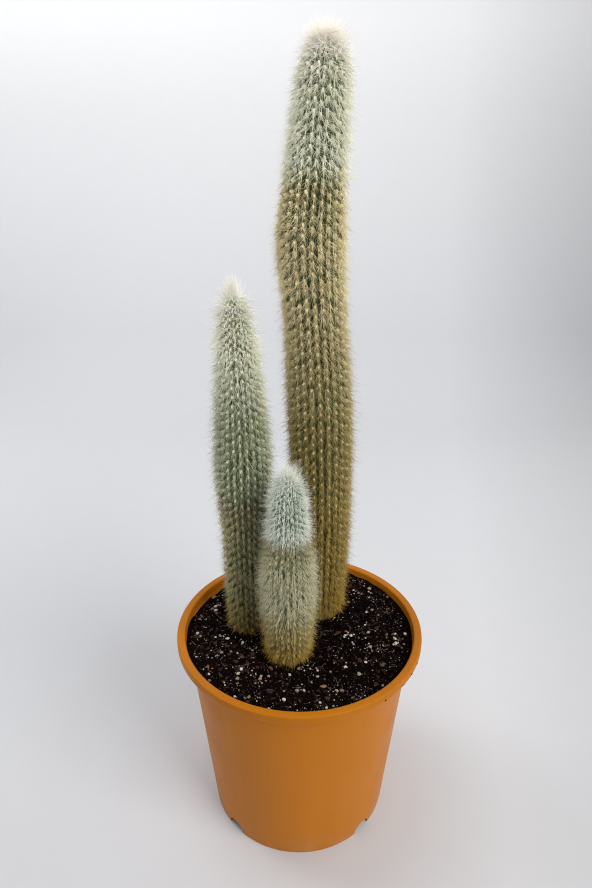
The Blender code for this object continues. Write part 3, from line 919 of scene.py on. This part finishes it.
def inner_profile():
    """The inside of the pot from its floor up, as (height, radius): the wall, a ledge and the collar."""
    floor_top = FLOOR_UNDERSIDE + FLOOR_THICKNESS
    ledge_top = POT_HEIGHT - COLLAR_DEPTH
    ledge_bottom = ledge_top - LEDGE_HEIGHT
    collar_radius = RIM_RADIUS - RIM_LAND_WIDTH
    return (
        (floor_top, wall_radius(floor_top) - WALL_THICKNESS),
        (ledge_bottom, wall_radius(ledge_bottom) - WALL_THICKNESS),
        (ledge_top, collar_radius - COLLAR_DRAFT),
        (POT_HEIGHT, collar_radius),
    )


def inner_radius(height):
    return value_at(inner_profile(), height)


def pot_corners():
    """Half of the pot's section as (radius, height, rounding), in the order of its outline."""
    wall_top = LIP_EDGE_HEIGHT - BEAD_HEIGHT
    bead_radius = WALL_TOP_RADIUS + BEAD_STEP
    floor_top = FLOOR_UNDERSIDE + FLOOR_THICKNESS
    *inside, (rim_height, land_radius) = inner_profile()
    return [
        (RIM_RADIUS, POT_HEIGHT, RIM_ROUND),
        (RIM_RADIUS, LIP_EDGE_HEIGHT, RIM_ROUND),
        (bead_radius, LIP_EDGE_HEIGHT, BEAD_ROUND),
        (bead_radius, wall_top + BEAD_STEP, EDGE_ROUND),
        (WALL_TOP_RADIUS, wall_top, EDGE_ROUND),
        (FOOT_RADIUS, 0.0, EDGE_ROUND),
        (FOOT_RADIUS - FOOT_THICKNESS, 0.0, EDGE_ROUND),
        (wall_radius(FLOOR_UNDERSIDE) - FOOT_THICKNESS, FLOOR_UNDERSIDE, EDGE_ROUND),
        (CENTRE_DRAIN_RADIUS, FLOOR_UNDERSIDE, EDGE_ROUND),
        (CENTRE_DRAIN_RADIUS, floor_top, EDGE_ROUND),
        *[(radius, height, EDGE_ROUND) for height, radius in inside],
        (land_radius, rim_height, RIM_ROUND),
    ]


def rounded(corners, steps=4):
    """Replaces each corner of a closed outline with a short curve."""
    outline = []
    for k, (radius, height, rounding) in enumerate(corners):
        corner = Vector((radius, height))
        before = Vector(corners[k - 1][:2]) - corner
        after = Vector(corners[(k + 1) % len(corners)][:2]) - corner
        start = corner + before.normalized() * min(rounding, before.length / 2.2)
        end = corner + after.normalized() * min(rounding, after.length / 2.2)
        for step in range(steps + 1):
            t = step / steps
            outline.append(start * (1 - t) ** 2 + corner * 2 * t * (1 - t) + end * t**2)
    return outline


def turned_mesh(name, outline, sides):
    """Turns a closed half section about Z."""
    shape = bmesh.new()
    sections = []
    for k in range(sides):
        across = spoke(k * math.tau / sides)
        sections.append([shape.verts.new((across.x * r, across.y * r, z)) for r, z in outline])
    for section, following in zip(sections, sections[1:] + sections[:1]):
        bridge(shape, section, following)
    return mesh_from(shape, name)


def make_pot():
    pot = add_object("pot_shell", turned_mesh("pot_shell", rounded(pot_corners()), POT_SIDES))
    arch = cylinder_mesh("arch", 40, NOTCH_WIDTH / 2, NOTCH_WIDTH / 2, 6 * FOOT_THICKNESS)
    drain = cylinder_mesh("drain", 32, DRAIN_RADIUS, DRAIN_RADIUS, 3 * FLOOR_THICKNESS)
    on_foot = Matrix.Translation((FOOT_RADIUS, 0, NOTCH_HEIGHT - NOTCH_WIDTH / 2))
    in_floor = Matrix.Translation((DRAIN_CIRCLE_RADIUS, 0, FLOOR_UNDERSIDE + FLOOR_THICKNESS / 2))
    lying_radially = Matrix.Rotation(math.pi / 2, 4, "Y")
    cutters = []
    for k in range(NOTCH_COUNT):
        turn = Matrix.Rotation(NOTCH_FIRST_ANGLE + k * math.tau / NOTCH_COUNT, 4, "Z")
        notch = add_object(f"notch_{k}", arch)
        notch.matrix_world = turn @ on_foot @ lying_radially
        hole = add_object(f"drain_{k}", drain)
        hole.matrix_world = turn @ in_floor
        cutters += [notch, hole]
    cut(pot, cutters)
    shade(pot, 35)
    pot.data.materials.append(terracotta_plastic())
    join_object(pot, "pot")


# The potting mix


def soil_height(x, y):
    """The lumpy surface of the potting mix, as in the part's source."""
    lumps = noise.noise(Vector((x, y, 0.0)) / SOIL_LUMP_SIZE)
    fine = noise.noise(Vector((x, y, SOIL_LUMP_SIZE)) / (0.4 * SOIL_LUMP_SIZE))
    from_dip = math.hypot(x - SOIL_DIP_CENTRE[0], y - SOIL_DIP_CENTRE[1]) / SOIL_DIP_RADIUS
    return SOIL_LEVEL + SOIL_RELIEF * (0.7 * lumps + 0.3 * fine) - SOIL_DIP * math.exp(-(from_dip**2))


def crumbly_height(x, y):
    """The same surface with the relief of its crumbs."""
    crumbs = noise.fractal(Vector((x, y, 0.0)) / CRUMB_SIZE, 0.9, 2.2, 3)
    return soil_height(x, y) + CRUMB_RELIEF * crumbs


def soil_circle(radius):
    """The places round Z that the mix has points at, as flat (x, y) pairs."""
    angles = [side * math.tau / SOIL_SIDES for side in range(SOIL_SIDES)]
    return [(radius * math.cos(angle), radius * math.sin(angle)) for angle in angles]


def soil_top_rings():
    """Rings of points from the middle of the mix to the pot's wall."""
    reach = inner_radius(SOIL_LEVEL) - SOIL_CLEARANCE
    circles = [soil_circle(reach * ring / SOIL_RINGS) for ring in range(1, SOIL_RINGS + 1)]
    return [[Vector((x, y, crumbly_height(x, y))) for x, y in circle] for circle in circles]


def soil_mesh():
    """A plug that fills the pot, with a fine top."""
    side_top = inner_profile()[1][0]
    floor = FLOOR_UNDERSIDE + FLOOR_THICKNESS + GAP
    rings = soil_top_rings()
    for height in (side_top, floor):
        circle = soil_circle(inner_radius(height) - SOIL_CLEARANCE)
        rings.append([Vector((x, y, height)) for x, y in circle])
    shape = bmesh.new()
    placed = [[shape.verts.new(point) for point in ring] for ring in rings]
    for inner, outer in pairwise(placed):
        bridge(shape, inner, outer)
    cap(shape, placed[0], shape.verts.new((0.0, 0.0, crumbly_height(0.0, 0.0))))
    cap(shape, placed[-1], shape.verts.new((0.0, 0.0, floor)))
    return mesh_from(shape, "potting_mix_body")


def neck_radius(stem):
    return stem.outline[0][1] * MM


def stem_hole(stem):
    """A plain tapered hole that the stem's buried neck stands in."""
    top_radius = neck_radius(stem) + GAP
    bottom_radius = neck_radius(stem) * NECK_TAPER + GAP
    buried = NECK_BURIED + GAP
    height = buried + CUT_ABOVE_SOIL
    cut_radius = top_radius + (top_radius - bottom_radius) * CUT_ABOVE_SOIL / buried
    mesh = cylinder_mesh("hole", 64, bottom_radius, cut_radius, height)
    hole = add_object(f"{stem.name}_hole", mesh)
    _, x, y = stem.axis[0]
    hole.location = (x * MM, y * MM, SOIL_LEVEL - buried + height / 2)
    return hole


def distance_to_stems(x, y):
    return min(
        math.hypot(x - stem.axis[0][1] * MM, y - stem.axis[0][2] * MM) - neck_radius(stem)
        for stem in STEMS
    )


def bare_soil(margin):
    """The part of the soil's surface that lies open between the stems and the wall."""
    shape = bmesh.new()
    placed = [[shape.verts.new(point) for point in ring] for ring in soil_top_rings()[::3]]
    for inner, outer in pairwise(placed):
        for side in range(SOIL_SIDES):
            middle = (inner[side - 1].co + outer[side].co) / 2
            if distance_to_stems(middle.x, middle.y) > margin:
                shape.faces.new((inner[side - 1], outer[side - 1], outer[side], inner[side]))
    loose = [vertex for vertex in shape.verts if not vertex.link_faces]
    bmesh.ops.delete(shape, geom=loose, context="VERTS")
    bmesh.ops.recalc_face_normals(shape, faces=shape.faces)
    if sum(face.normal.z for face in shape.faces) < 0:
        bmesh.ops.reverse_faces(shape, faces=shape.faces)
    return to_mesh(shape, "bare_soil")


@dataclass
class Grain:
    """One kind of loose grain: how thickly it lies, and its size and form."""

    name: str
    density: float  # for each square metre
    sizes: tuple  # smallest and largest radius in millimetres
    flatness: float
    stretch: float
    detail: int
    raised: float  # how far its middle lies above the ground, as a share of its radius
    seed: int
    clustering: float = 0.0


CRUMBS = Grain("mix_crumbs", 190000, (0.45, 1.7), 0.7, 1.2, detail=1, raised=0.1, seed=31)
PERLITE = Grain(
    "perlite_grains", 15000, (0.4, 1.25), 0.8, 1.2, detail=2, raised=0.25, seed=32, clustering=0.8
)
DUST = Grain(
    "perlite_dust", 60000, (0.16, 0.42), 0.8, 1.1, detail=1, raised=0.8, seed=33, clustering=0.6
)
CHIPS = Grain("bark_chips", 8000, (0.5, 1.5), 0.35, 1.7, detail=2, raised=0.35, seed=34)
SPECKS = Grain(
    "rim_specks", 90000, (0.25, 0.65), 0.8, 1.3, detail=1, raised=0.0, seed=37, clustering=1.0
)


def lip_edge():
    """A short arc of the lip's lower edge, where specks of the mix cling."""
    shape = bmesh.new()
    angles = [math.radians(angle) for angle in range(*RIM_SPECKS_ARC, 6)]
    rings = [
        [
            shape.verts.new((RIM_RADIUS * math.cos(angle), RIM_RADIUS * math.sin(angle), height))
            for angle in angles
        ]
        for height in (LIP_EDGE_HEIGHT + RIM_ROUND, LIP_EDGE_HEIGHT + RIM_ROUND + RIM_SPECKS_BAND)
    ]
    for low, high in zip(pairwise(rings[0]), pairwise(rings[1])):
        shape.faces.new((low[0], low[1], high[1], high[0]))
    return mesh_from(shape, "lip_edge")


def strew(tree, grain, finish, ground):
    values = {
        "Per square metre": grain.density,
        "Clustering": grain.clustering,
        "Smallest": grain.sizes[0] * MM,
        "Largest": grain.sizes[1] * MM,
        "Flatness": grain.flatness,
        "Stretch": grain.stretch,
        "Detail": grain.detail,
        "Raised": grain.raised,
        "Seed": grain.seed,
        "Material": finish,
    }
    join_object(grow(grain.name, ground, tree, values), "soil")


def fibre_points(count, seed):
    """Random places on the open soil for fibres, as upward points."""
    rng = random.Random(seed)
    reach = inner_radius(SOIL_LEVEL) - FIBRE_MARGIN
    points = []
    while len(points) < count:
        radius = reach * math.sqrt(rng.random())
        angle = rng.uniform(0, math.tau)
        x, y = radius * math.cos(angle), radius * math.sin(angle)
        if distance_to_stems(x, y) >= SOIL_MARGIN:
            points.append(Vector((x, y, soil_height(x, y) + FIBRE_RISE)))
    mesh = bpy.data.meshes.new("fibre_points")
    mesh.from_pydata(points, [], [])
    store(mesh, "outward", [(0.0, 0.0, 1.0)] * count, "FLOAT_VECTOR")
    store(mesh, "upward", [(0.0, 1.0, 0.0)] * count, "FLOAT_VECTOR")
    for name in ("cover", "vigour", "size", "root_spread"):
        store(mesh, name, [1.0] * count)
    store(mesh, "lift", [0.0] * count)
    store(mesh, "number", list(range(count)))
    store(mesh, "root_height", [rng.random() for _ in range(count)])
    return mesh


def make_soil(bristles):
    soil = add_object("potting_mix_body", soil_mesh())
    cut(soil, [stem_hole(stem) for stem in STEMS])
    shade(soil, 60)
    soil.data.materials.append(dark_mix())
    join_object(soil, "soil")

    tree = grains_tree()
    peat = grain_finish("peat_crumbs", PEAT_TONES, roughness=0.95)
    perlite = grain_finish("perlite", PERLITE_TONES, roughness=0.8)
    bark = grain_finish("bark_chips", BARK_TONES, roughness=0.85)
    strew(tree, CRUMBS, peat, bare_soil(GAP))
    strew(tree, PERLITE, perlite, bare_soil(SOIL_MARGIN))
    strew(tree, DUST, perlite, bare_soil(GAP))
    strew(tree, CHIPS, bark, bare_soil(SOIL_MARGIN))
    strew(tree, SPECKS, peat, lip_edge())

    values = bristle_values(
        hair_finish("mix_fibres", FIBRE_TONES),
        seed=35,
        bristles=1,
        length=6 * MM,
        shortest=0.4,
        thickness=0.18 * MM,
        least_lean=math.radians(72),
        most_lean=math.radians(96),
        droop=0.0,
        hairs_in_a_lock=1.0,
        looseness=0.0,
        pad_width=0.0,
        pad_height=0.0,
        root_depth=0.0,
    )
    fibres = grow("mix_fibres", fibre_points(FIBRE_COUNT, seed=36), bristles, values)
    join_object(fibres, "soil")


# The stems


def axis_point(stem, height):
    in_mm = height / MM
    x = smooth_at([(h, x) for h, x, _ in stem.axis], in_mm)
    y = smooth_at([(h, y) for h, _, y in stem.axis], in_mm)
    return Vector((x * MM, y * MM, height))


def above_soil(height):
    """How far the ribs have started: 0 at the soil and 1 from a little above it."""
    return clamped((height - SOIL_LEVEL) / RIB_START)


def up_crown(stem, height):
    """How far up the crown a height is: 0 at the shoulder, 1 at the tip, and below 0 under it."""
    return (height / MM - stem.shoulder) / (stem.top - stem.shoulder)


def crest_radius(stem, height):
    """The radius over the rib crests: tapering where buried, and closing in an ellipse at the crown."""
    if height <= SOIL_LEVEL + NECK_CLEAR_HEIGHT:
        depth = max(0.0, SOIL_LEVEL - height) / NECK_BURIED
        return neck_radius(stem) * (1 - (1 - NECK_TAPER) * depth)
    inset = FLESH_INSET * above_soil(height)
    widened = smooth_at(stem.outline, (height - NECK_CLEAR_HEIGHT) / MM) * MM
    above = up_crown(stem, height)
    if above <= 0:
        return widened - inset
    return (stem.outline[-1][1] * MM - inset) * math.sqrt(max(0.0, 1 - above**2))


def rib_relief(stem, height):
    """How deep the ribs are, as a share of their full depth."""
    return above_soil(height) * min(1.0, crest_radius(stem, height) / FULL_RIB_RADIUS)


@dataclass
class Level:
    """One height of a stem's skin, counted from the tip down."""

    height: float
    radius: float
    slope: Vector  # (outwards, upwards) along the skin towards the tip
    areoles: float  # how many areoles a rib carries between here and the tip


def skin_levels(stem):
    """The stem's skin from its tip to the soil, in steps of about one row."""
    shoulder, top = stem.shoulder * MM, stem.top * MM
    crown_steps = math.ceil(1.3 * (top - shoulder) / ROW_SPACING)
    turns = [math.pi / 2 * (1 - k / crown_steps) for k in range(crown_steps)]
    heights = [shoulder + (top - shoulder) * math.sin(turn) for turn in turns]
    column = shoulder - SOIL_LEVEL
    column_steps = math.ceil(column / ROW_SPACING)
    heights += [shoulder - column * k / column_steps for k in range(column_steps + 1)]
    levels = []
    areoles = 0.0
    for height in heights:
        radius = crest_radius(stem, height)
        slope = Vector((-1.0, 0.0))
        if levels:
            above = levels[-1]
            slope = Vector((above.radius - radius, above.height - height))
            crowding = clamped(radius / CROWN_AREOLE_RADIUS, LEAST_CROWDING)
            areoles += slope.length / (value_at(stem.pitches, height / MM) * MM * crowding)
            slope.normalize()
        levels.append(Level(height, radius, slope, areoles))
    return levels


def stagger(rib):
    """Neighbouring ribs carry their areoles half a step apart."""
    return 0.5 * (rib % 2)


def flesh_mesh(stem, levels):
    """A smooth column over the rib crests, carrying the numbers that shape its ribs."""
    buried_end = SOIL_LEVEL - NECK_BURIED
    buried = [
        Level(height, crest_radius(stem, height), None, 0.0)
        for height in (buried_end + GAP, buried_end)
    ]
    shape = bmesh.new()
    carried = {"groove": [], "areole_turn": [], "relief": []}
    outward = []
    rings = []
    for level in levels[1:] + buried:
        centre = axis_point(stem, level.height)
        relief = rib_relief(stem, level.height)
        ring = []
        for column in range(RIBS * COLUMNS_PER_RIB):
            phase = column / COLUMNS_PER_RIB
            direction = spoke(math.tau * phase / RIBS)
            ring.append(shape.verts.new(centre + level.radius * direction))
            outward.append(direction)
            carried["groove"].append((0.5 - 0.5 * math.cos(math.tau * phase)) ** 0.8)
            carried["areole_turn"].append(level.areoles + stagger(round(phase)))
            carried["relief"].append(relief)
        rings.append(ring)
    for upper, lower in pairwise(rings):
        bridge(shape, upper, lower)
    for ring, height in ((rings[0], stem.top * MM), (rings[-1], buried_end)):
        cap(shape, ring, shape.verts.new(axis_point(stem, height)))
    mesh = mesh_from(shape, f"{stem.name}_flesh")
    store(mesh, "outward", outward + [UP, UP], "FLOAT_VECTOR")
    for name, values in carried.items():
        store(mesh, name, values + [0.0, 0.0])
    return mesh


@dataclass
class Areole:
    """A spine cushion on a rib."""

    place: Vector
    outward: Vector
    upward: Vector
    height: float
    size: float
    lift: float  # how much its bristles stand up, as they do round the growing tip


def lift_at(stem, height):
    """How much the bristles stand up: from just below the crown, and more towards its tip."""
    above = up_crown(stem, height)
    if above <= -0.5:
        return 0.0
    return stem.tuft_lift * clamped(0.35 + 0.65 * above)


def rib_step(crowding):
    """Near the tip only every second rib has room for areoles, and then only every fourth."""
    if crowding < 0.2:
        return 4
    return 2 if crowding < 0.4 else 1


def areoles_on(stem, levels):
    """Every areole of the stem, from the tip down each rib to the soil."""
    found = []
    for rib in range(RIBS):
        across = spoke(math.tau * rib / RIBS)
        count = 1
        for level in levels[1:]:
            if level.areoles + stagger(rib) < count:
                continue
            count += 1
            crowding = level.radius / CROWN_AREOLE_RADIUS
            if rib % rib_step(crowding) or level.height < SOIL_LEVEL + LOWEST_AREOLE:
                continue
            found.append(
                Areole(
                    place=axis_point(stem, level.height) + level.radius * across,
                    outward=(across * level.slope.y - UP * level.slope.x).normalized(),
                    upward=(across * level.slope.x + UP * level.slope.y).normalized(),
                    height=level.height,
                    size=clamped(crowding, LEAST_AREOLE_SIZE),
                    lift=lift_at(stem, level.height),
                )
            )
    return found


def areole_points(stem, chosen):
    """Areoles as bare points that carry what the bristles need to know."""
    mesh = bpy.data.meshes.new("areoles")
    mesh.from_pydata([areole.place for areole in chosen], [], [])
    for name in ("outward", "upward"):
        store(mesh, name, [getattr(areole, name) for areole in chosen], "FLOAT_VECTOR")
    for name in ("size", "lift"):
        store(mesh, name, [getattr(areole, name) for areole in chosen])
    for name in ("cover", "vigour", "root_spread"):
        along_stem = getattr(stem, name)
        store(mesh, name, [value_at(along_stem, areole.height / MM) for areole in chosen])
    store(mesh, "root_height", [areole.height for areole in chosen])
    store(mesh, "number", list(range(len(chosen))))
    return mesh


def tuft_seeds(stem):
    """Points spread evenly over the growing tip, for the long hair that closes over it."""
    seeds = []
    for k in range(stem.tuft_points):
        spread = TUFT_REACH * math.sqrt((k + 0.5) / stem.tuft_points)
        rise = math.sqrt(1 - spread**2)
        across = spoke(k * GOLDEN_ANGLE)
        height = (stem.shoulder + (stem.top - stem.shoulder) * rise) * MM
        normal = (across * spread * stem.tuft_fan + UP * rise).normalized()
        upward = (UP - normal * normal.z + across * 1e-6).normalized()
        place = axis_point(stem, height) + crest_radius(stem, height) * across
        seeds.append(Areole(place, normal, upward, height, size=1.0, lift=0.0))
    return seeds


def bristle_values(material, seed, **changes):
    """The settings of the fine white hair, changed by name for the other kinds of bristle."""
    values = {
        "Bristles": 20,
        "Length": 10.0 * MM,
        "Shortest": 0.5,
        "Thickness": 0.12 * MM,
        "Least lean": math.radians(12),
        "Most lean": math.radians(70),
        "Droop": 0.5,
        "Hairs in a lock": 2.0,
        "Looseness": 0.12,
        "Pad width": 1.8 * MM,
        "Pad height": 2.8 * MM,
        "Root depth": 0.5 * MM,
        "Seed": seed,
        "Material": material,
    }
    values.update({name.replace("_", " ").capitalize(): value for name, value in changes.items()})
    return values


def make_flesh(stem, ribs, levels):
    values = {
        "Rib depth": RIB_DEPTH,
        "Tubercle height": TUBERCLE_HEIGHT,
        "Material": cactus_skin(stem),
    }
    flesh = grow(f"{stem.name}_flesh", flesh_mesh(stem, levels), ribs, values)
    shade(flesh, 60)
    join_object(flesh, stem.node)


def make_pads(stem, pads, areoles):
    values = {
        "Width": 1.5 * MM,
        "Height": 2.4 * MM,
        "Proud": 4.8 * MM,
        "Seed": stem.seed,
        "Material": wool_finish(stem),
    }
    cushions = grow(f"{stem.name}_areoles", areole_points(stem, areoles), pads, values)
    join_object(cushions, stem.node)


def make_bristles(stem, bristles, areoles):
    """Grows the stem's hair and spines: the coat first, and then what stands out of it."""

    def grow_on(roots, name, material, seed, **changes):
        values = bristle_values(material, stem.seed * 100 + seed, **changes)
        piece = grow(f"{stem.name}_{name}", areole_points(stem, roots), bristles, values)
        join_object(piece, stem.node)

    def grow_long_spines(roots, name, length, most_lean):
        """Single dark spines, one from each root, that stand out past the hair."""
        grow_on(
            roots,
            name,
            hair_finish(f"{stem.name}_{name}", SPINE_TONES),
            seed=len(roots),
            bristles=1,
            length=length,
            shortest=0.6,
            thickness=0.30 * MM,
            least_lean=0.0,
            most_lean=math.radians(most_lean),
            droop=0.8,
        )

    hair = hair_finish(f"{stem.name}_hair", stem.bristle_tones, (0.8, 1.3))
    share = math.ceil(len(areoles) / stem.parts)
    for k in range(stem.parts):
        group = areoles[k * share : (k + 1) * share]
        grow_on(group, f"hair_{k + 1}", hair, seed=k, bristles=stem.bristles)
    grow_on(
        areoles,
        "radial_spines",
        hair_finish(f"{stem.name}_spines", stem.bristle_tones, (0.4, 1.45)),
        seed=10,
        bristles=stem.radials,
        length=8.5 * MM,
        shortest=0.45,
        thickness=0.34 * MM,
        least_lean=math.radians(15),
        most_lean=math.radians(62),
        droop=0.95,
        hairs_in_a_lock=1.0,
        looseness=0.05,
    )
    grow_on(
        [areole for areole in areoles if areole.height > STRAY_HAIR_START],
        "stray_hair",
        hair,
        seed=30,
        bristles=4,
        length=stem.stray_length * MM,
        shortest=0.6,
        thickness=0.14 * MM,
        least_lean=math.radians(10),
        most_lean=math.radians(60),
        hairs_in_a_lock=1.0,
    )
    tip = tuft_seeds(stem)
    grow_on(
        tip,
        "crown_tuft",
        hair,
        seed=20,
        bristles=stem.tuft_bristles,
        length=stem.tuft_length * MM,
        thickness=0.10 * MM,
        least_lean=0.0,
        most_lean=math.radians(24 + 16 * max(0.0, stem.tuft_fan)),
        droop=0.0,
        hairs_in_a_lock=1.0,
    )
    if stem.long_spines:
        low, high, odds = stem.long_spines
        rng = random.Random(stem.seed)
        bearing = [a for a in areoles if low * MM < a.height < high * MM and rng.random() < odds]
        grow_long_spines(bearing, "long_spines", 13 * MM, most_lean=35)
        grow_long_spines(tip[::10], "crown_spines", 15 * MM, most_lean=20)


def make_stem(stem, ribs, pads, bristles):
    levels = skin_levels(stem)
    areoles = areoles_on(stem, levels)
    make_flesh(stem, ribs, levels)
    make_pads(stem, pads, areoles)
    make_bristles(stem, bristles, sorted(areoles, key=lambda areole: areole.height))


# The studio


def make_backdrop():
    """A pale paper sweep: floor, one wide curve and a wall."""
    front, wall, top, half_width = -2.6, 1.25, 3.0, 3.0
    bend, steps = 0.55, 16
    profile = [(front, 0.0), (wall - bend, 0.0)]
    for k in range(1, steps + 1):
        angle = math.pi / 2 * k / steps
        profile.append((wall - bend + bend * math.sin(angle), bend - bend * math.cos(angle)))
    profile.append((wall, top))
    shape = bmesh.new()
    left, right = [[shape.verts.new((x, y, z)) for y, z in profile] for x in (-half_width, half_width)]
    for k in range(len(profile) - 1):
        shape.faces.new((left[k], right[k], right[k + 1], left[k + 1]))
    mesh = to_mesh(shape, "backdrop")
    mesh.shade_smooth()
    mesh.materials.append(backdrop_paper())
    add_object("backdrop", mesh)


def softbox(name, place, target, size, power, colour=(1.0, 1.0, 1.0)):
    light = bpy.data.lights.new(name, "AREA")
    light.shape = "RECTANGLE"
    light.size, light.size_y = size
    light.energy = power
    light.color = colour
    lamp = bpy.data.objects.new(name, light)
    lamp.location = place
    facing = Vector(target) - Vector(place)
    lamp.rotation_euler = facing.to_track_quat("-Z", "Y").to_euler()
    bpy.context.scene.collection.objects.link(lamp)


def make_lights():
    world = bpy.data.worlds.new("studio_fill")
    world.use_nodes = True
    background = world.node_tree.nodes["Background"]
    background.inputs["Color"].default_value = (0.93, 0.96, 1.0, 1.0)
    background.inputs["Strength"].default_value = 0.44
    bpy.context.scene.world = world
    softbox("key_light", (0.95, -0.85, 1.0), (-0.05, 0.0, 0.25), (0.9, 0.9), 17.0, (1.0, 0.98, 0.95))
    softbox("left_rim_light", (-0.85, 0.45, 0.5), (0.0, 0.0, 0.35), (0.5, 0.7), 1.1)
    softbox("right_rim_light", (0.85, 0.5, 0.5), (0.0, 0.0, 0.35), (0.5, 0.7), 1.6, (1.0, 0.97, 0.9))
    softbox("backdrop_light", (-0.7, 0.3, 1.5), (-0.3, 1.2, 0.6), (1.4, 0.6), 11.0)


def make_camera():
    camera = bpy.data.cameras.new("photograph")
    camera.sensor_width = SENSOR_WIDTH
    camera.lens = SENSOR_WIDTH * FOCAL_LENGTH / PICTURE_HEIGHT
    camera.clip_start = 0.01
    holder = bpy.data.objects.new("photograph", camera)
    holder.location = CAMERA_PLACE
    holder.rotation_euler = (math.pi / 2 - CAMERA_PITCH, 0.0, CAMERA_YAW)
    bpy.context.scene.collection.objects.link(holder)
    bpy.context.scene.camera = holder


def main():
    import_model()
    bpy.context.scene.view_settings.view_transform = "Standard"
    bpy.context.scene.cycles.denoising_prefilter = "NONE"
    bpy.context.scene.cycles.filter_width = 1.1
    make_camera()
    make_lights()
    make_backdrop()
    make_pot()
    ribs, pads, bristles = ribs_tree(), pads_tree(), bristles_tree()
    make_soil(bristles)
    for stem in STEMS:
        make_stem(stem, ribs, pads, bristles)


main()
